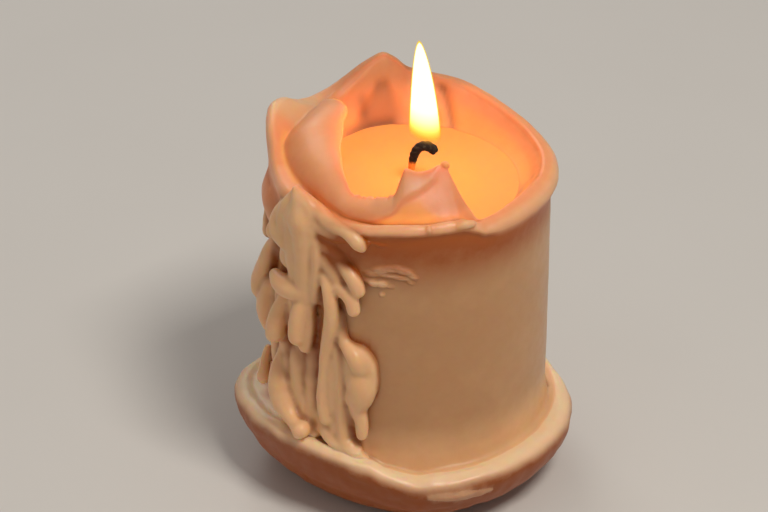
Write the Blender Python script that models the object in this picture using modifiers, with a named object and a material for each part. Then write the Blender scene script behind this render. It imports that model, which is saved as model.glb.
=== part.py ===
"""A melted pillar candle, alight: its fused wax, its pool of molten wax, its wick and its flame.

Run it with: blender --background --python part.py
Metres, +Z up. The origin is the centre of the flat foot, on the pillar's axis, and the front faces -Y.
Angles are degrees about +Z, from +X: 90 is the back, 180 the left and 270 the front.
"""

import math
from itertools import pairwise

import bmesh
import bpy
import numpy as np
from mathutils import Matrix, Vector

MM = 0.001

# Driving dimensions, in millimetres.
PILLAR_RADIUS = 35.5
RIM_HEIGHT = 90.0  # the level that the rim's heights are counted from
POOL_LEVEL = -7.5  # the molten wax, below the rim
POOL_RADIUS = 29.6
POOL_DEPTH = 4.2
FOOT_RADIUS = 27.0
WICK_RADIUS = 0.9
FLAME_HEIGHT = 28.8
GAP = 0.3  # between pieces that rest in or on each other

WALL = 2.2  # the folded wall's thickness below its free edge
BORE_RADIUS = WICK_RADIUS + GAP
BORE_FLOOR = 5.0  # the wick's hole stops in the puddle under the pillar
SLICES = 108
RUN_DETAIL = 0.125  # the share of the fused faces that is kept
SEAM_WELD = 0.04  # joins the slivers that the Booleans leave along their seams

# The rim, one station a row. The wall rises outside to the lip, falls into a fold, and rises again as
# a thin band that leans in over the pool and ends at its free edge. Heights are above RIM_HEIGHT.
RIM = (
    # angle, flare, lip r, lip h, fold r, fold h, edge r, edge h, belly, edge thickness
    (0, 37.4, 35.7, -1.4, 33.9, -1.2, 32.2, -2.0, 0.2, 1.9),
    (20, 37.0, 35.4, -1.9, 33.8, -1.7, 32.2, -2.6, 0.2, 1.9),
    (39, 36.7, 35.2, -0.9, 33.8, -0.7, 32.3, -1.6, 0.2, 1.9),
    (56, 36.5, 35.1, 1.2, 33.8, 1.4, 32.5, 0.5, 0.2, 1.9),
    (70, 36.4, 35.0, 3.4, 33.8, 3.5, 32.5, 2.7, 0.2, 1.8),
    (82, 36.3, 34.9, 4.4, 33.8, 4.5, 32.6, 3.7, 0.2, 1.8),
    (91, 36.2, 34.9, 5.6, 33.9, 5.7, 32.8, 5.0, 0.2, 1.7),
    (101, 36.0, 34.9, 10.6, 34.2, 10.8, 33.2, 10.2, 0.2, 1.5),
    (109, 36.1, 34.9, 8.8, 33.9, 8.9, 32.6, 8.2, 0.2, 1.7),
    (118, 36.4, 35.0, 5.8, 33.7, 5.8, 31.8, 4.9, 0.3, 1.9),
    (127, 36.8, 35.1, 3.4, 33.0, 3.0, 30.8, 2.4, 0.3, 2.0),
    (136, 37.2, 35.3, 2.8, 31.6, 1.9, 28.4, 4.0, 0.6, 2.0),
    (142, 37.6, 35.5, 3.6, 31.3, 1.8, 24.6, 7.4, 1.8, 1.9),
    (148, 37.9, 35.6, 5.4, 31.8, 1.9, 20.4, 9.0, 2.3, 1.8),
    (155, 38.2, 35.8, 8.0, 32.4, 2.0, 18.2, 9.4, 2.7, 1.7),
    (164, 38.4, 36.0, 9.6, 32.9, 2.0, 17.6, 9.3, 3.1, 1.5),
    (174, 38.4, 36.1, 8.6, 32.9, 1.8, 17.6, 9.1, 3.4, 1.4),
    (184, 38.0, 36.2, 4.4, 32.2, 1.5, 18.0, 8.9, 3.5, 1.3),
    (194, 37.6, 36.2, 1.6, 31.8, 1.3, 18.9, 8.7, 3.4, 1.3),
    (206, 37.6, 36.2, 0.8, 31.7, 1.2, 20.8, 8.4, 3.0, 1.3),
    (220, 37.4, 36.3, 1.4, 32.3, 1.4, 23.7, 8.0, 2.4, 1.3),
    (232, 37.2, 36.0, 0.6, 33.0, 0.8, 27.2, 6.6, 1.8, 1.3),
    (241, 37.0, 35.8, -0.4, 33.4, 0.0, 29.2, 4.4, 1.5, 1.4),
    (252, 36.9, 35.6, 0.2, 33.4, -0.2, 28.0, 4.2, 1.5, 1.4),
    (260, 36.9, 35.5, 0.9, 33.4, 0.0, 27.0, 4.8, 1.3, 1.3),
    (266, 36.9, 35.4, 1.2, 33.4, 0.2, 23.2, 11.2, 1.1, 1.1),
    (274, 36.9, 35.4, 1.3, 33.4, 0.3, 23.8, 10.7, 0.9, 1.1),
    (281, 36.9, 35.4, 1.5, 33.4, 0.4, 23.8, 11.2, 0.6, 1.1),
    (287, 36.9, 35.4, 1.5, 33.4, 0.5, 23.4, 12.2, 0.3, 1.3),
    (291, 36.9, 35.3, 1.4, 33.3, 0.4, 23.6, 12.2, 0.0, 1.5),
    (294, 36.8, 35.2, 1.0, 33.2, 0.1, 26.4, 8.0, -0.2, 1.4),
    (298, 36.7, 34.9, -0.2, 33.1, -0.9, 30.4, 2.8, -0.2, 1.4),
    (302, 36.6, 34.5, -1.5, 33.3, -1.4, 32.4, -1.0, 0.0, 1.6),
    (310, 36.5, 34.3, -1.4, 33.2, -1.1, 31.9, -1.4, 0.2, 1.9),
    (322, 36.6, 34.4, -1.3, 32.9, -1.0, 31.1, -1.4, 0.3, 2.0),
    (334, 36.9, 34.8, -1.2, 33.0, -0.9, 31.2, -1.5, 0.3, 2.0),
    (347, 37.3, 35.4, -1.3, 33.7, -1.1, 31.9, -1.8, 0.2, 2.0),
)

# The puddle of wax that set round the foot, with its rolled lip. Heights are above the floor.
PUDDLE = (
    # angle, lip's outer radius, lip height, lip's inner radius, floor height inside the lip
    (0, 41.8, 18.8, 36.3, 17.6),
    (20, 39.4, 18.6, 36.1, 17.9),
    (60, 39.2, 18.4, 36.2, 17.6),
    (100, 39.6, 18.8, 36.3, 17.8),
    (140, 40.0, 19.8, 36.4, 18.6),
    (163, 41.6, 21.2, 37.4, 19.4),
    (174, 45.2, 22.0, 40.2, 19.6),
    (184, 46.5, 22.3, 41.4, 19.6),
    (198, 45.0, 22.4, 40.2, 19.8),
    (214, 43.2, 23.0, 38.8, 20.2),
    (228, 42.4, 23.6, 38.0, 20.0),
    (242, 42.2, 23.0, 38.0, 18.6),
    (256, 42.2, 21.2, 38.3, 16.8),
    (266, 42.3, 19.3, 38.5, 15.6),
    (274, 42.8, 17.6, 38.9, 15.0),
    (282, 43.4, 18.2, 39.3, 15.0),
    (300, 43.6, 18.8, 39.6, 15.2),
    (320, 43.9, 19.0, 39.1, 15.6),
    (338, 43.7, 19.0, 38.0, 16.4),
    (350, 43.0, 18.9, 37.0, 17.2),
)

# Runs of wax down the left of the front, each a rounded finger along a path on the pillar's side.
RUNS = (
    # (angle, height, radius, how far the centre stands out from the pillar), from the top down
    ((216, 94.5, 1.5, 0.6), (217, 91.5, 2.6, 1.0), (220, 87, 3.4, 0.8), (222, 80, 3.7, 0.6)),
    ((222, 80, 3.6, 0.8), (221, 73, 3.6, 1.2), (223, 66, 3.2, 1.4), (224, 58, 3.0, 1.2)),
    ((217, 89, 3.0, 0.6), (209, 85, 3.4, 0.6), (203, 80.5, 3.3, 0.8)),
    ((209, 84, 3.0, 1.2), (210, 80, 3.0, 1.8), (213, 77.5, 2.6, 2.0)),
    ((225, 90, 3.0, -0.2), (233, 89.2, 2.7, 0.4), (240, 87.6, 2.3, 1.1), (246, 86.4, 2.1, 1.4)),
    ((246, 86.4, 2.1, 1.4), (250, 85.6, 1.5, 1.6)),
    ((228, 87, 2.8, 0.2), (230, 80, 2.6, 0.2), (231, 72, 2.2, 0.2)),
    ((202, 63, 2.1, 2.4), (207, 61, 2.2, 2.4), (214, 61.3, 2.3, 2.4), (221, 63, 2.4, 1.8)),
    ((203, 78, 3.0, 0.4), (196, 71, 3.2, 0.8), (191, 63, 3.6, 2.2), (189, 54, 3.4, 3.0)),
    ((196, 54, 2.6, 1.4), (192, 48, 3.0, 1.9), (193, 41, 2.8, 1.4), (197, 37, 2.0, 0.6)),
    ((205, 61, 2.3, 1.4), (202, 55, 2.6, 2.0), (203, 49, 2.8, 2.0), (204, 44.5, 2.8, 1.9)),
    ((215, 60.5, 2.5, 1.6), (217, 55, 2.9, 2.0), (220, 50, 3.0, 1.9)),
    ((225, 60, 2.4, 1.0), (226, 50, 2.4, 0.9), (227, 40, 2.2, 0.8), (228, 31, 2.2, 1.2)),
    ((230, 79, 1.9, 0.8), (234, 73, 2.2, 1.2), (237, 65.5, 2.4, 1.4), (236, 54, 2.1, 1.2)),
    ((236, 54, 2.1, 1.2), (235.5, 45, 2.2, 1.2), (235, 37, 2.3, 1.2), (235, 29.5, 2.5, 1.4)),
    ((237, 71, 1.6, 0.6), (241, 61, 1.7, 0.8), (241, 45, 1.6, 0.9), (243, 27, 1.7, 1.2)),
    ((232, 86, 2.0, 0.6), (237, 82, 2.1, 0.9), (243, 77.5, 2.0, 1.2), (248.5, 72.6, 2.2, 1.3)),
    ((236, 79, 1.8, 0.8), (241, 74, 1.8, 0.9), (245, 69.5, 1.9, 1.0)),
    ((239, 70, 1.6, 1.0), (243, 66.5, 1.7, 1.2), (247, 64, 2.1, 1.5)),
    ((244, 52, 2.6, 0.6), (248, 48, 4.2, 0.6), (251, 43.5, 4.8, 0.8), (252, 38.5, 4.2, 0.8)),
    ((252, 38.5, 3.8, 0.8), (251.5, 33, 2.5, 0.9), (251, 27, 1.9, 1.2)),
    ((243, 51, 2.1, 1.2), (245, 47, 2.5, 2.6), (247, 43.5, 2.5, 3.2)),
    ((246, 26, 3.0, 0.2), (249, 21, 3.2, 1.0)),
    ((200, 39, 2.0, 0.4), (205, 36, 2.5, 1.6), (212, 31.8, 2.7, 3.0), (220, 28.3, 2.5, 4.8)),
    ((220, 28.3, 2.5, 4.8), (226, 26.4, 2.6, 6.2)),
    ((192, 37, 2.4, 1.4), (195, 32, 2.8, 3.2), (197, 28.4, 2.8, 4.6)),
    ((224, 35, 1.9, 1.2), (225, 29, 2.4, 2.0)),
    ((206, 83, 3.4, -0.4), (204, 76, 3.8, -1.0), (203, 68, 5.2, -2.6), (205, 54, 4.8, -2.8)),
    ((205, 54, 4.8, -2.8), (207, 44, 3.6, -2.2)),
    ((216, 85, 3.6, -0.4), (216, 77, 4.2, -1.2), (216, 68, 6.2, -3.2), (218, 56, 6.0, -3.6)),
    ((218, 56, 6.0, -3.6), (220, 44, 4.6, -3.0)),
    ((227, 83, 3.6, -1.0), (228, 76, 4.0, -1.6), (229, 67, 5.4, -3.2), (231, 54, 5.0, -3.4)),
    ((231, 54, 5.0, -3.4), (234, 36, 4.6, -3.2)),
    ((196, 76, 3.6, -1.6), (188, 70, 3.2, -0.8), (184, 61, 2.8, 0.2), (183, 54, 2.6, 0.8)),
    ((200, 56, 3.6, -1.4), (199, 46, 3.2, -1.0), (201, 33, 3.0, -0.4)),
    ((178, 80, 2.0, -0.4), (176, 71, 2.0, 0.4), (176, 66, 2.3, 0.7)),
    ((212, 42, 3.4, -1.6), (216, 33, 3.6, -0.6), (219, 24, 4.2, 0.6)),
    ((236, 44, 3.6, -2.0), (239, 32, 3.6, -1.4), (242, 23, 4.0, -0.2)),
)
# A smear of wax pressed on beside the runs.
SMEAR = (
    # angle, height, width, height of the dab, rise
    (253, 75.2, 4.4, 2.8, 1.6),
    (259, 76.4, 5.0, 3.4, 1.9),
    (265, 76.8, 5.2, 3.0, 1.8),
    (270, 76.2, 3.8, 2.6, 1.5),
)


def smooth_ring(rows, column, angles):
    """One column of a table of stations, carried round smoothly to each of the angles."""
    table = np.array(rows, float)
    knots = np.concatenate([table[-2:, 0] - 360, table[:, 0], table[:2, 0] + 360])
    values = np.concatenate([table[-2:, column], table[:, column], table[:2, column]])
    steps = np.diff(knots)
    slopes = np.diff(values) / steps
    before, after = slopes[:-1], slopes[1:]
    turns = before * after <= 0
    tangents = np.zeros(len(knots))
    means = 2 * before * after / np.where(turns, 1, before + after)
    tangents[1:-1] = np.where(turns, 0, means)
    spot = np.mod(np.asarray(angles, float), 360)
    i = np.clip(np.searchsorted(knots, spot, side="right") - 1, 1, len(knots) - 3)
    t = (spot - knots[i]) / steps[i]
    rise = values[i] * (1 + 2 * t) * (1 - t) ** 2 + values[i + 1] * t**2 * (3 - 2 * t)
    bend = tangents[i] * t * (1 - t) ** 2 - tangents[i + 1] * t**2 * (1 - t)
    return rise + bend * steps[i]


def slice_angles(count):
    """Angles round the pillar, closer together where the rim is folded."""
    fine = np.linspace(0, 360, 1441)
    density = 1 + 1.6 * window(fine, 128, 306, 12) + 1.6 * window(fine, 258, 304, 4)
    density += 0.8 * window(fine, 92, 112, 8)
    share = np.concatenate([[0], np.cumsum((density[1:] + density[:-1]) / 2)])
    return np.interp(np.arange(count) / count * share[-1], share, fine)


def window(x, low, high, soft):
    """1 between low and high, falling smoothly to 0 over the soft width outside each."""
    up = np.clip((x - low) / soft + 1, 0, 1)
    down = np.clip((high - x) / soft + 1, 0, 1)
    return (up * up * (3 - 2 * up)) * (down * down * (3 - 2 * down))


def rim_sections(angles):
    """The rim's rings from the pillar's side over the lip, fold and free edge to the pool, as (r, h)."""
    flare, lip_r, lip_h, fold_r, fold_h, edge_r, edge_h, belly, thick = (
        smooth_ring(RIM, column, angles) for column in range(1, 10)
    )
    side = np.full_like(angles, PILLAR_RADIUS)
    bulge = window(angles, 178, 190, 15)
    rings = [
        (side, np.full_like(angles, -19.5)),
        (side + 2.0 * bulge, np.full_like(angles, -13.5)),
        (side + 4.0 * bulge, np.minimum(-7.0, lip_h - 8.6)),
        (side + 0.25 * (flare - side) + 1.2 * bulge, lip_h - 6.0),
        (flare - 0.35, lip_h - 4.2),
        (flare, lip_h - 2.6),
        (flare - 0.3 * (flare - lip_r), lip_h - 0.9),
        (lip_r, lip_h),
        (lip_r + 0.45 * (fold_r - lip_r), lip_h + 0.35 * (fold_h - lip_h)),
        (fold_r, fold_h),
    ]
    run, climb = edge_r - fold_r, edge_h - fold_h
    length = np.maximum(np.hypot(run, climb), 0.1)
    out_r, out_h = climb / length, -run / length
    crease = np.interp(angles, (240, 253, 266, 280, 290, 294), (0, 0.05, 0.4, 0.68, 0.93, 1.0))
    step = 1.2 * window(angles, 252, 284, 12)
    for share in (0.22, 0.45, 0.68, 0.88):
        swell = belly * math.sin(math.pi * share**0.85)
        raised = np.clip((share - crease) / 0.3 + 0.5, 0, 1) * step
        rings.append(
            (
                fold_r + run * share + out_r * (swell + raised),
                fold_h + climb * share + out_h * (swell + raised),
            )
        )
    tip = np.minimum(thick, 0.6 * length)
    rings.append((edge_r + 0.15 * tip, edge_h + 0.1 * tip))
    rings.append((edge_r - 0.1 * thick, edge_h - 0.35 * thick))
    under_r, under_h = edge_r + 0.25 * thick, edge_h - thick
    rings.append((under_r, under_h))
    foot_r = np.full_like(angles, POOL_RADIUS)
    wall_r = np.clip(fold_r - WALL, POOL_RADIUS - 2.0, POOL_RADIUS + 1.6)
    wall_h = np.minimum(fold_h - 0.6, under_h - 0.8)
    pocket = pocket_depth(angles)
    for share in (0.35, 0.7):
        lean = belly * 0.5 * math.sin(math.pi * share)
        rings.append(
            (
                under_r + (wall_r - under_r) * share + out_r * lean,
                under_h + (wall_h - under_h) * share + out_h * lean,
            )
        )
    rings.append((wall_r + pocket, wall_h))
    rings.append((0.5 * (wall_r + foot_r) + pocket, 0.45 * wall_h + 0.55 * POOL_LEVEL))
    rings.append((foot_r, np.full_like(angles, POOL_LEVEL)))
    return rings


def pocket_depth(angles):
    """How far the back wall is hollowed under the peak, between a ridge and a plain stretch."""
    hollow = 1.9 * window(angles, 97, 108, 5)
    ridge = 1.2 * window(angles, 116, 119, 5)
    groove = 0.9 * window(angles, 73, 75, 3)
    return hollow + groove - ridge


def puddle_sections(angles):
    """The puddle's rings from the foot up the underside, over the rolled lip and in to the pillar."""
    outer, lip_h, inner, floor_h = (smooth_ring(PUDDLE, column, angles) for column in range(1, 5))
    rings = [(np.full_like(angles, FOOT_RADIUS), np.zeros_like(angles))]
    for share in (0.12, 0.34, 0.58, 0.8):
        swing = share * math.pi / 2
        rings.append(
            (
                FOOT_RADIUS + (outer - 0.4 - FOOT_RADIUS) * math.sin(swing),
                (lip_h - 3.2) * (1 - math.cos(swing)) ** 0.8,
            )
        )
    middle = (outer + inner) / 2
    rings += [
        (outer, lip_h - 2.6),
        (outer - 0.3 * (outer - middle), lip_h - 0.8),
        (middle, lip_h),
        (inner + 0.3 * (middle - inner), lip_h - 0.5),
        (inner, floor_h + 0.4 * (lip_h - floor_h)),
        (0.45 * inner + 0.55 * PILLAR_RADIUS, floor_h),
        (np.full_like(angles, PILLAR_RADIUS + 0.35), floor_h + 0.9),
        (np.full_like(angles, PILLAR_RADIUS), floor_h + 3.0),
        (np.full_like(angles, PILLAR_RADIUS), np.full_like(angles, 44.0)),
    ]
    return rings


def mesh_object(name, mesh, collection):
    obj = bpy.data.objects.new(name, mesh)
    collection.objects.link(obj)
    return obj


def loft(name, angles, rings, collection):
    """A closed skin through rings of (radius, height) in millimetres, with a flat cap at each end."""
    turn = np.radians(angles)
    form = bmesh.new()
    loops = []
    for radius, height in rings:
        points = np.stack([radius * np.cos(turn), radius * np.sin(turn), height], 1) * MM
        loops.append([form.verts.new(point) for point in points])
    for lower, upper in pairwise(loops):
        for i in range(len(turn)):
            j = (i + 1) % len(turn)
            form.faces.new((lower[i], lower[j], upper[j], upper[i]))
    form.faces.new(reversed(loops[0]))
    form.faces.new(loops[-1])
    mesh = bpy.data.meshes.new(name)
    form.to_mesh(mesh)
    form.free()
    return mesh_object(name, mesh, collection)


def apply_modifiers(obj):
    """Puts the object's evaluated mesh in its place, with no modifiers left."""
    graph = bpy.context.evaluated_depsgraph_get()
    mesh = bpy.data.meshes.new_from_object(obj.evaluated_get(graph))
    obj.modifiers.clear()
    obj.data = mesh


def boolean(obj, other, operation):
    modifier = obj.modifiers.new(operation.title(), "BOOLEAN")
    modifier.operation = operation
    modifier.object = other
    other.hide_render = True
    other.display_type = "WIRE"


def on_pillar(angle, height, outwards):
    """The point at this angle and height, this far outside the pillar's side, in metres."""
    radius = PILLAR_RADIUS + outwards
    turn = math.radians(angle)
    return Vector((radius * math.cos(turn), radius * math.sin(turn), height)) * MM


def add_ball(form, centre, radius, squash=(1, 1, 1), turn=0.0):
    place = Matrix.Translation(centre) @ Matrix.Rotation(turn, 4, "Z")
    shape = Matrix.Diagonal((*(radius * MM * s for s in squash), 1))
    bmesh.ops.create_icosphere(form, subdivisions=2, radius=1, matrix=place @ shape)


def make_runs(collection):
    """The runs and the smear, as balls along each run that are fused into one skin."""
    form = bmesh.new()
    for run in RUNS:
        for start, end in pairwise(run):
            along = math.radians(end[0] - start[0]) * PILLAR_RADIUS
            reach = math.hypot(along, end[1] - start[1])
            count = max(2, round(reach / (0.4 * min(start[2], end[2]))))
            for k in range(count + 1):
                angle, height, radius, stand = (
                    a + (b - a) * k / count for a, b in zip(start, end, strict=True)
                )
                add_ball(form, on_pillar(angle, height, stand), radius)
    for angle, height, width, tall, rise in SMEAR:
        centre = on_pillar(angle, height, 0.8 - rise)
        add_ball(form, centre, 1, (rise, width, tall), math.radians(angle))
    mesh = bpy.data.meshes.new("runs")
    form.to_mesh(mesh)
    form.free()
    runs = mesh_object("runs", mesh, collection)
    fuse = runs.modifiers.new("Fuse", "REMESH")
    fuse.mode = "VOXEL"
    fuse.voxel_size = 0.8 * MM
    soften = runs.modifiers.new("Soften", "SMOOTH")
    soften.factor = 0.5
    soften.iterations = 3
    thin = runs.modifiers.new("Thin", "DECIMATE")
    thin.ratio = RUN_DETAIL
    apply_modifiers(runs)
    keep_largest_shell(runs)
    return runs


def keep_largest_shell(obj):
    """Takes away every closed skin but the one with the most faces, such as a trapped bubble."""
    form = bmesh.new()
    form.from_mesh(obj.data)
    waiting = set(form.verts)
    shells = []
    while waiting:
        shell = {waiting.pop()}
        edge_of = list(shell)
        while edge_of:
            vertex = edge_of.pop()
            for edge in vertex.link_edges:
                other = edge.other_vert(vertex)
                if other not in shell:
                    shell.add(other)
                    edge_of.append(other)
        waiting -= shell
        shells.append(shell)
    largest = max(shells, key=len)
    loose = [vertex for vertex in form.verts if vertex not in largest]
    bmesh.ops.delete(form, geom=loose, context="VERTS")
    form.to_mesh(obj.data)
    form.free()


def weld(mesh, reach):
    """Joins the vertices that lie within this reach of each other, in millimetres."""
    form = bmesh.new()
    form.from_mesh(mesh)
    bmesh.ops.triangulate(form, faces=[face for face in form.faces if len(face.verts) > 4])
    bmesh.ops.remove_doubles(form, verts=form.verts, dist=reach * MM)
    bmesh.ops.dissolve_degenerate(form, edges=form.edges, dist=reach * MM)
    form.to_mesh(mesh)
    form.free()


def make_bore(collection):
    """The cutter for the hole that the wick stands in."""
    bpy.ops.mesh.primitive_cylinder_add(
        vertices=12,
        radius=BORE_RADIUS * MM,
        depth=RIM_HEIGHT * MM,
        location=(0, 0, (BORE_FLOOR + RIM_HEIGHT / 2) * MM),
    )
    bore = bpy.context.object
    bore.name = "wick_bore"
    move_to(bore, collection)
    return bore


def move_to(obj, collection):
    for owner in list(obj.users_collection):
        owner.objects.unlink(obj)
    collection.objects.link(obj)


def make_wax_body(candle, cutters):
    """The pillar with its rim, runs and puddle, all one piece of wax."""
    angles = slice_angles(SLICES)
    rings = puddle_sections(angles)
    rings += [(r, RIM_HEIGHT + h) for r, h in rim_sections(angles)]
    crater = RIM_HEIGHT + POOL_LEVEL
    rings += [
        (np.full_like(angles, POOL_RADIUS * 0.97), np.full_like(angles, crater - POOL_DEPTH * 0.55)),
        (np.full_like(angles, POOL_RADIUS * 0.86), np.full_like(angles, crater - POOL_DEPTH)),
    ]
    body = loft("wax_body", angles, rings, candle)
    boolean(body, make_runs(cutters), "UNION")
    boolean(body, make_bore(cutters), "DIFFERENCE")
    apply_modifiers(body)
    weld(body.data, SEAM_WELD)
    keep_largest_shell(body)
    body.data.shade_smooth()
    body.data.set_sharp_from_angle(angle=math.radians(50))
    body.data.materials.append(finish("ivory_wax", (0.83, 0.68, 0.52), 0.42))
    return body


def make_melt_pool(candle):
    """The molten wax in the crater, a shallow turned dish with a hole for the wick."""
    top = RIM_HEIGHT + POOL_LEVEL - GAP
    hole = WICK_RADIUS + GAP
    outline = (
        (hole, top),
        (POOL_RADIUS - GAP - 0.2, top),
        (POOL_RADIUS * 0.97 - GAP, top + GAP - POOL_DEPTH * 0.55),
        (POOL_RADIUS * 0.86 - GAP, top + 2 * GAP - POOL_DEPTH),
        (hole, top + 2 * GAP - POOL_DEPTH),
    )
    return turned("melt_pool", outline, 72, candle, finish("molten_wax", (0.95, 0.6, 0.25), 0.12))


def turned(name, outline, steps, collection, material):
    """A closed outline of (radius, height) in millimetres, turned about the vertical axis."""
    mesh = bpy.data.meshes.new(name)
    count = len(outline)
    edges = [(i, (i + 1) % count) for i in range(count)]
    mesh.from_pydata([(r * MM, 0, h * MM) for r, h in outline], edges, [])
    obj = mesh_object(name, mesh, collection)
    spin = obj.modifiers.new("Turn", "SCREW")
    spin.steps = spin.render_steps = steps
    spin.use_merge_vertices = True
    spin.merge_threshold = 0.00001
    spin.use_smooth_shade = True
    obj.data.materials.append(material)
    return obj


def finish(name, colour, roughness, metallic=0.0):
    material = bpy.data.materials.new(name)
    material.use_nodes = True
    shader = material.node_tree.nodes["Principled BSDF"]
    shader.inputs["Base Color"].default_value = (*colour, 1)
    shader.inputs["Roughness"].default_value = roughness
    shader.inputs["Metallic"].default_value = metallic
    return material


def wick_path():
    """The wick's centre line: up through the wax, then curled over to the right."""
    foot = BORE_FLOOR + GAP
    bend, radius = RIM_HEIGHT + 0.6, 2.9
    points = [(0, foot), (0, RIM_HEIGHT + POOL_LEVEL - POOL_DEPTH), (0, bend - 3.5), (0.1, bend)]
    for step in range(1, 10):
        swing = math.radians(180 - 21 * step)
        points.append((0.1 + radius * (1 + math.cos(swing)), bend + radius * math.sin(swing)))
    return points


def make_wick(candle):
    """The braided cotton wick, from the puddle to its burnt curl."""
    curve = bpy.data.curves.new("wick", "CURVE")
    curve.dimensions = "3D"
    curve.bevel_depth = WICK_RADIUS * MM
    curve.bevel_resolution = 2
    curve.use_fill_caps = True
    path = wick_path()
    line = curve.splines.new("POLY")
    line.points.add(len(path) - 1)
    for point, (x, z) in zip(line.points, path, strict=True):
        point.co = (x * MM, 0, z * MM, 1)
    line.points[-1].radius = 0.7
    shape = bpy.data.objects.new("wick_line", curve)
    candle.objects.link(shape)
    graph = bpy.context.evaluated_depsgraph_get()
    mesh = bpy.data.meshes.new_from_object(shape.evaluated_get(graph))
    bpy.data.objects.remove(shape)
    weld(mesh, 0.01)
    mesh.shade_smooth()
    mesh.set_sharp_from_angle(angle=math.radians(50))
    mesh.materials.clear()
    mesh.materials.append(finish("burnt_cotton", (0.03, 0.025, 0.02), 0.9))
    return mesh_object("wick", mesh, candle)


def make_flame(candle):
    """The flame's bright body: a leaning drop, hollow below where it clears the wick."""
    base = RIM_HEIGHT + 4.7
    outline = []
    for k in range(15):
        t = k / 14
        radius = 3.95 * math.sqrt(1 - t**1.35) * (1 - 0.12 * (1 - t) ** 6)
        outline.append((radius, base + FLAME_HEIGHT * t))
    outline.reverse()
    for radius, rise in ((3.3, 0.25), (2.4, 1.3), (1.2, 2.1), (0.0, 2.3)):
        outline.append((radius, base + rise))
    mesh = bpy.data.meshes.new("flame")
    edges = [(i, i + 1) for i in range(len(outline) - 1)]
    mesh.from_pydata([(r * MM, 0, h * MM) for r, h in outline], edges, [])
    flame = mesh_object("flame", mesh, candle)
    spin = flame.modifiers.new("Turn", "SCREW")
    spin.steps = spin.render_steps = 24
    spin.use_merge_vertices = True
    spin.merge_threshold = 0.00001
    spin.use_smooth_shade = True
    apply_modifiers(flame)
    for vertex in flame.data.vertices:
        t = (vertex.co.z / MM - base) / FLAME_HEIGHT
        vertex.co.x += (3.85 - 0.9 * t - 0.7 * t * t) * MM
    light = finish("flame_light", (1.0, 0.72, 0.25), 0.5)
    flame.data.materials.append(light)
    return flame


def main():
    for obj in list(bpy.data.objects):
        bpy.data.objects.remove(obj)
    candle = bpy.data.collections.new("melted_candle")
    cutters = bpy.data.collections.new("cutters")
    for collection in (candle, cutters):
        bpy.context.scene.collection.children.link(collection)
    make_wax_body(candle, cutters)
    make_melt_pool(candle)
    make_wick(candle)
    make_flame(candle)


main()
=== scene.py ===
"""A melted pillar candle, alight: its finished look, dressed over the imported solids.

Tables are in millimetres, and in degrees about +Z from +X: 90 is the back, 180 the left and 270 the
front. Meshes are in metres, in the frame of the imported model.
"""

import logging
import math
from collections.abc import Iterable, Mapping, Sequence
from dataclasses import dataclass, field
from enum import Enum
from itertools import pairwise

import bpy
import numpy as np
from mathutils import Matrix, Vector, kdtree, noise


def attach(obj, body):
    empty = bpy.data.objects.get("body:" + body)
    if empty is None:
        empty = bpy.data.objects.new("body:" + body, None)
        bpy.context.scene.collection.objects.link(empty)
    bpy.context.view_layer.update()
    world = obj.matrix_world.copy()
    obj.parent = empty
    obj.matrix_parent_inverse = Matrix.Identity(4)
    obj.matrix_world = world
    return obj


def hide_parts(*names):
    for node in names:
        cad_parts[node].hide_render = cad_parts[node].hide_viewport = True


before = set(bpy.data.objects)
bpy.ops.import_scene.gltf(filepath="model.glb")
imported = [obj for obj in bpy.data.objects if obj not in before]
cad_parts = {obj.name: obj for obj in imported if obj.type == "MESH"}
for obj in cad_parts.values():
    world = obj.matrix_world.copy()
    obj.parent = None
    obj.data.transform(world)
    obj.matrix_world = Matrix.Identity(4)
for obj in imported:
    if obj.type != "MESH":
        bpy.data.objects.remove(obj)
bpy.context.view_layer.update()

LOG = logging.getLogger("melted_candle")
MM = 0.001

# The sizes that the others follow, in millimetres.
PILLAR_RADIUS = 35.5
RIM_HEIGHT = 90.0
POOL_HEIGHT = 82.5
POOL_RADIUS = 29.6
BACK_HEIGHT = 13.6  # from the pool to the top of the crater's back wall
FLAME_HEART = (3.2, 0.0, 100.0)
FLAME_REACH = 30.0  # how far from its heart the flame's light falls to a half
SOFT_SEAMS_END = 12.0  # the x beyond which the corner where two pieces meet is left as it is

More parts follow.
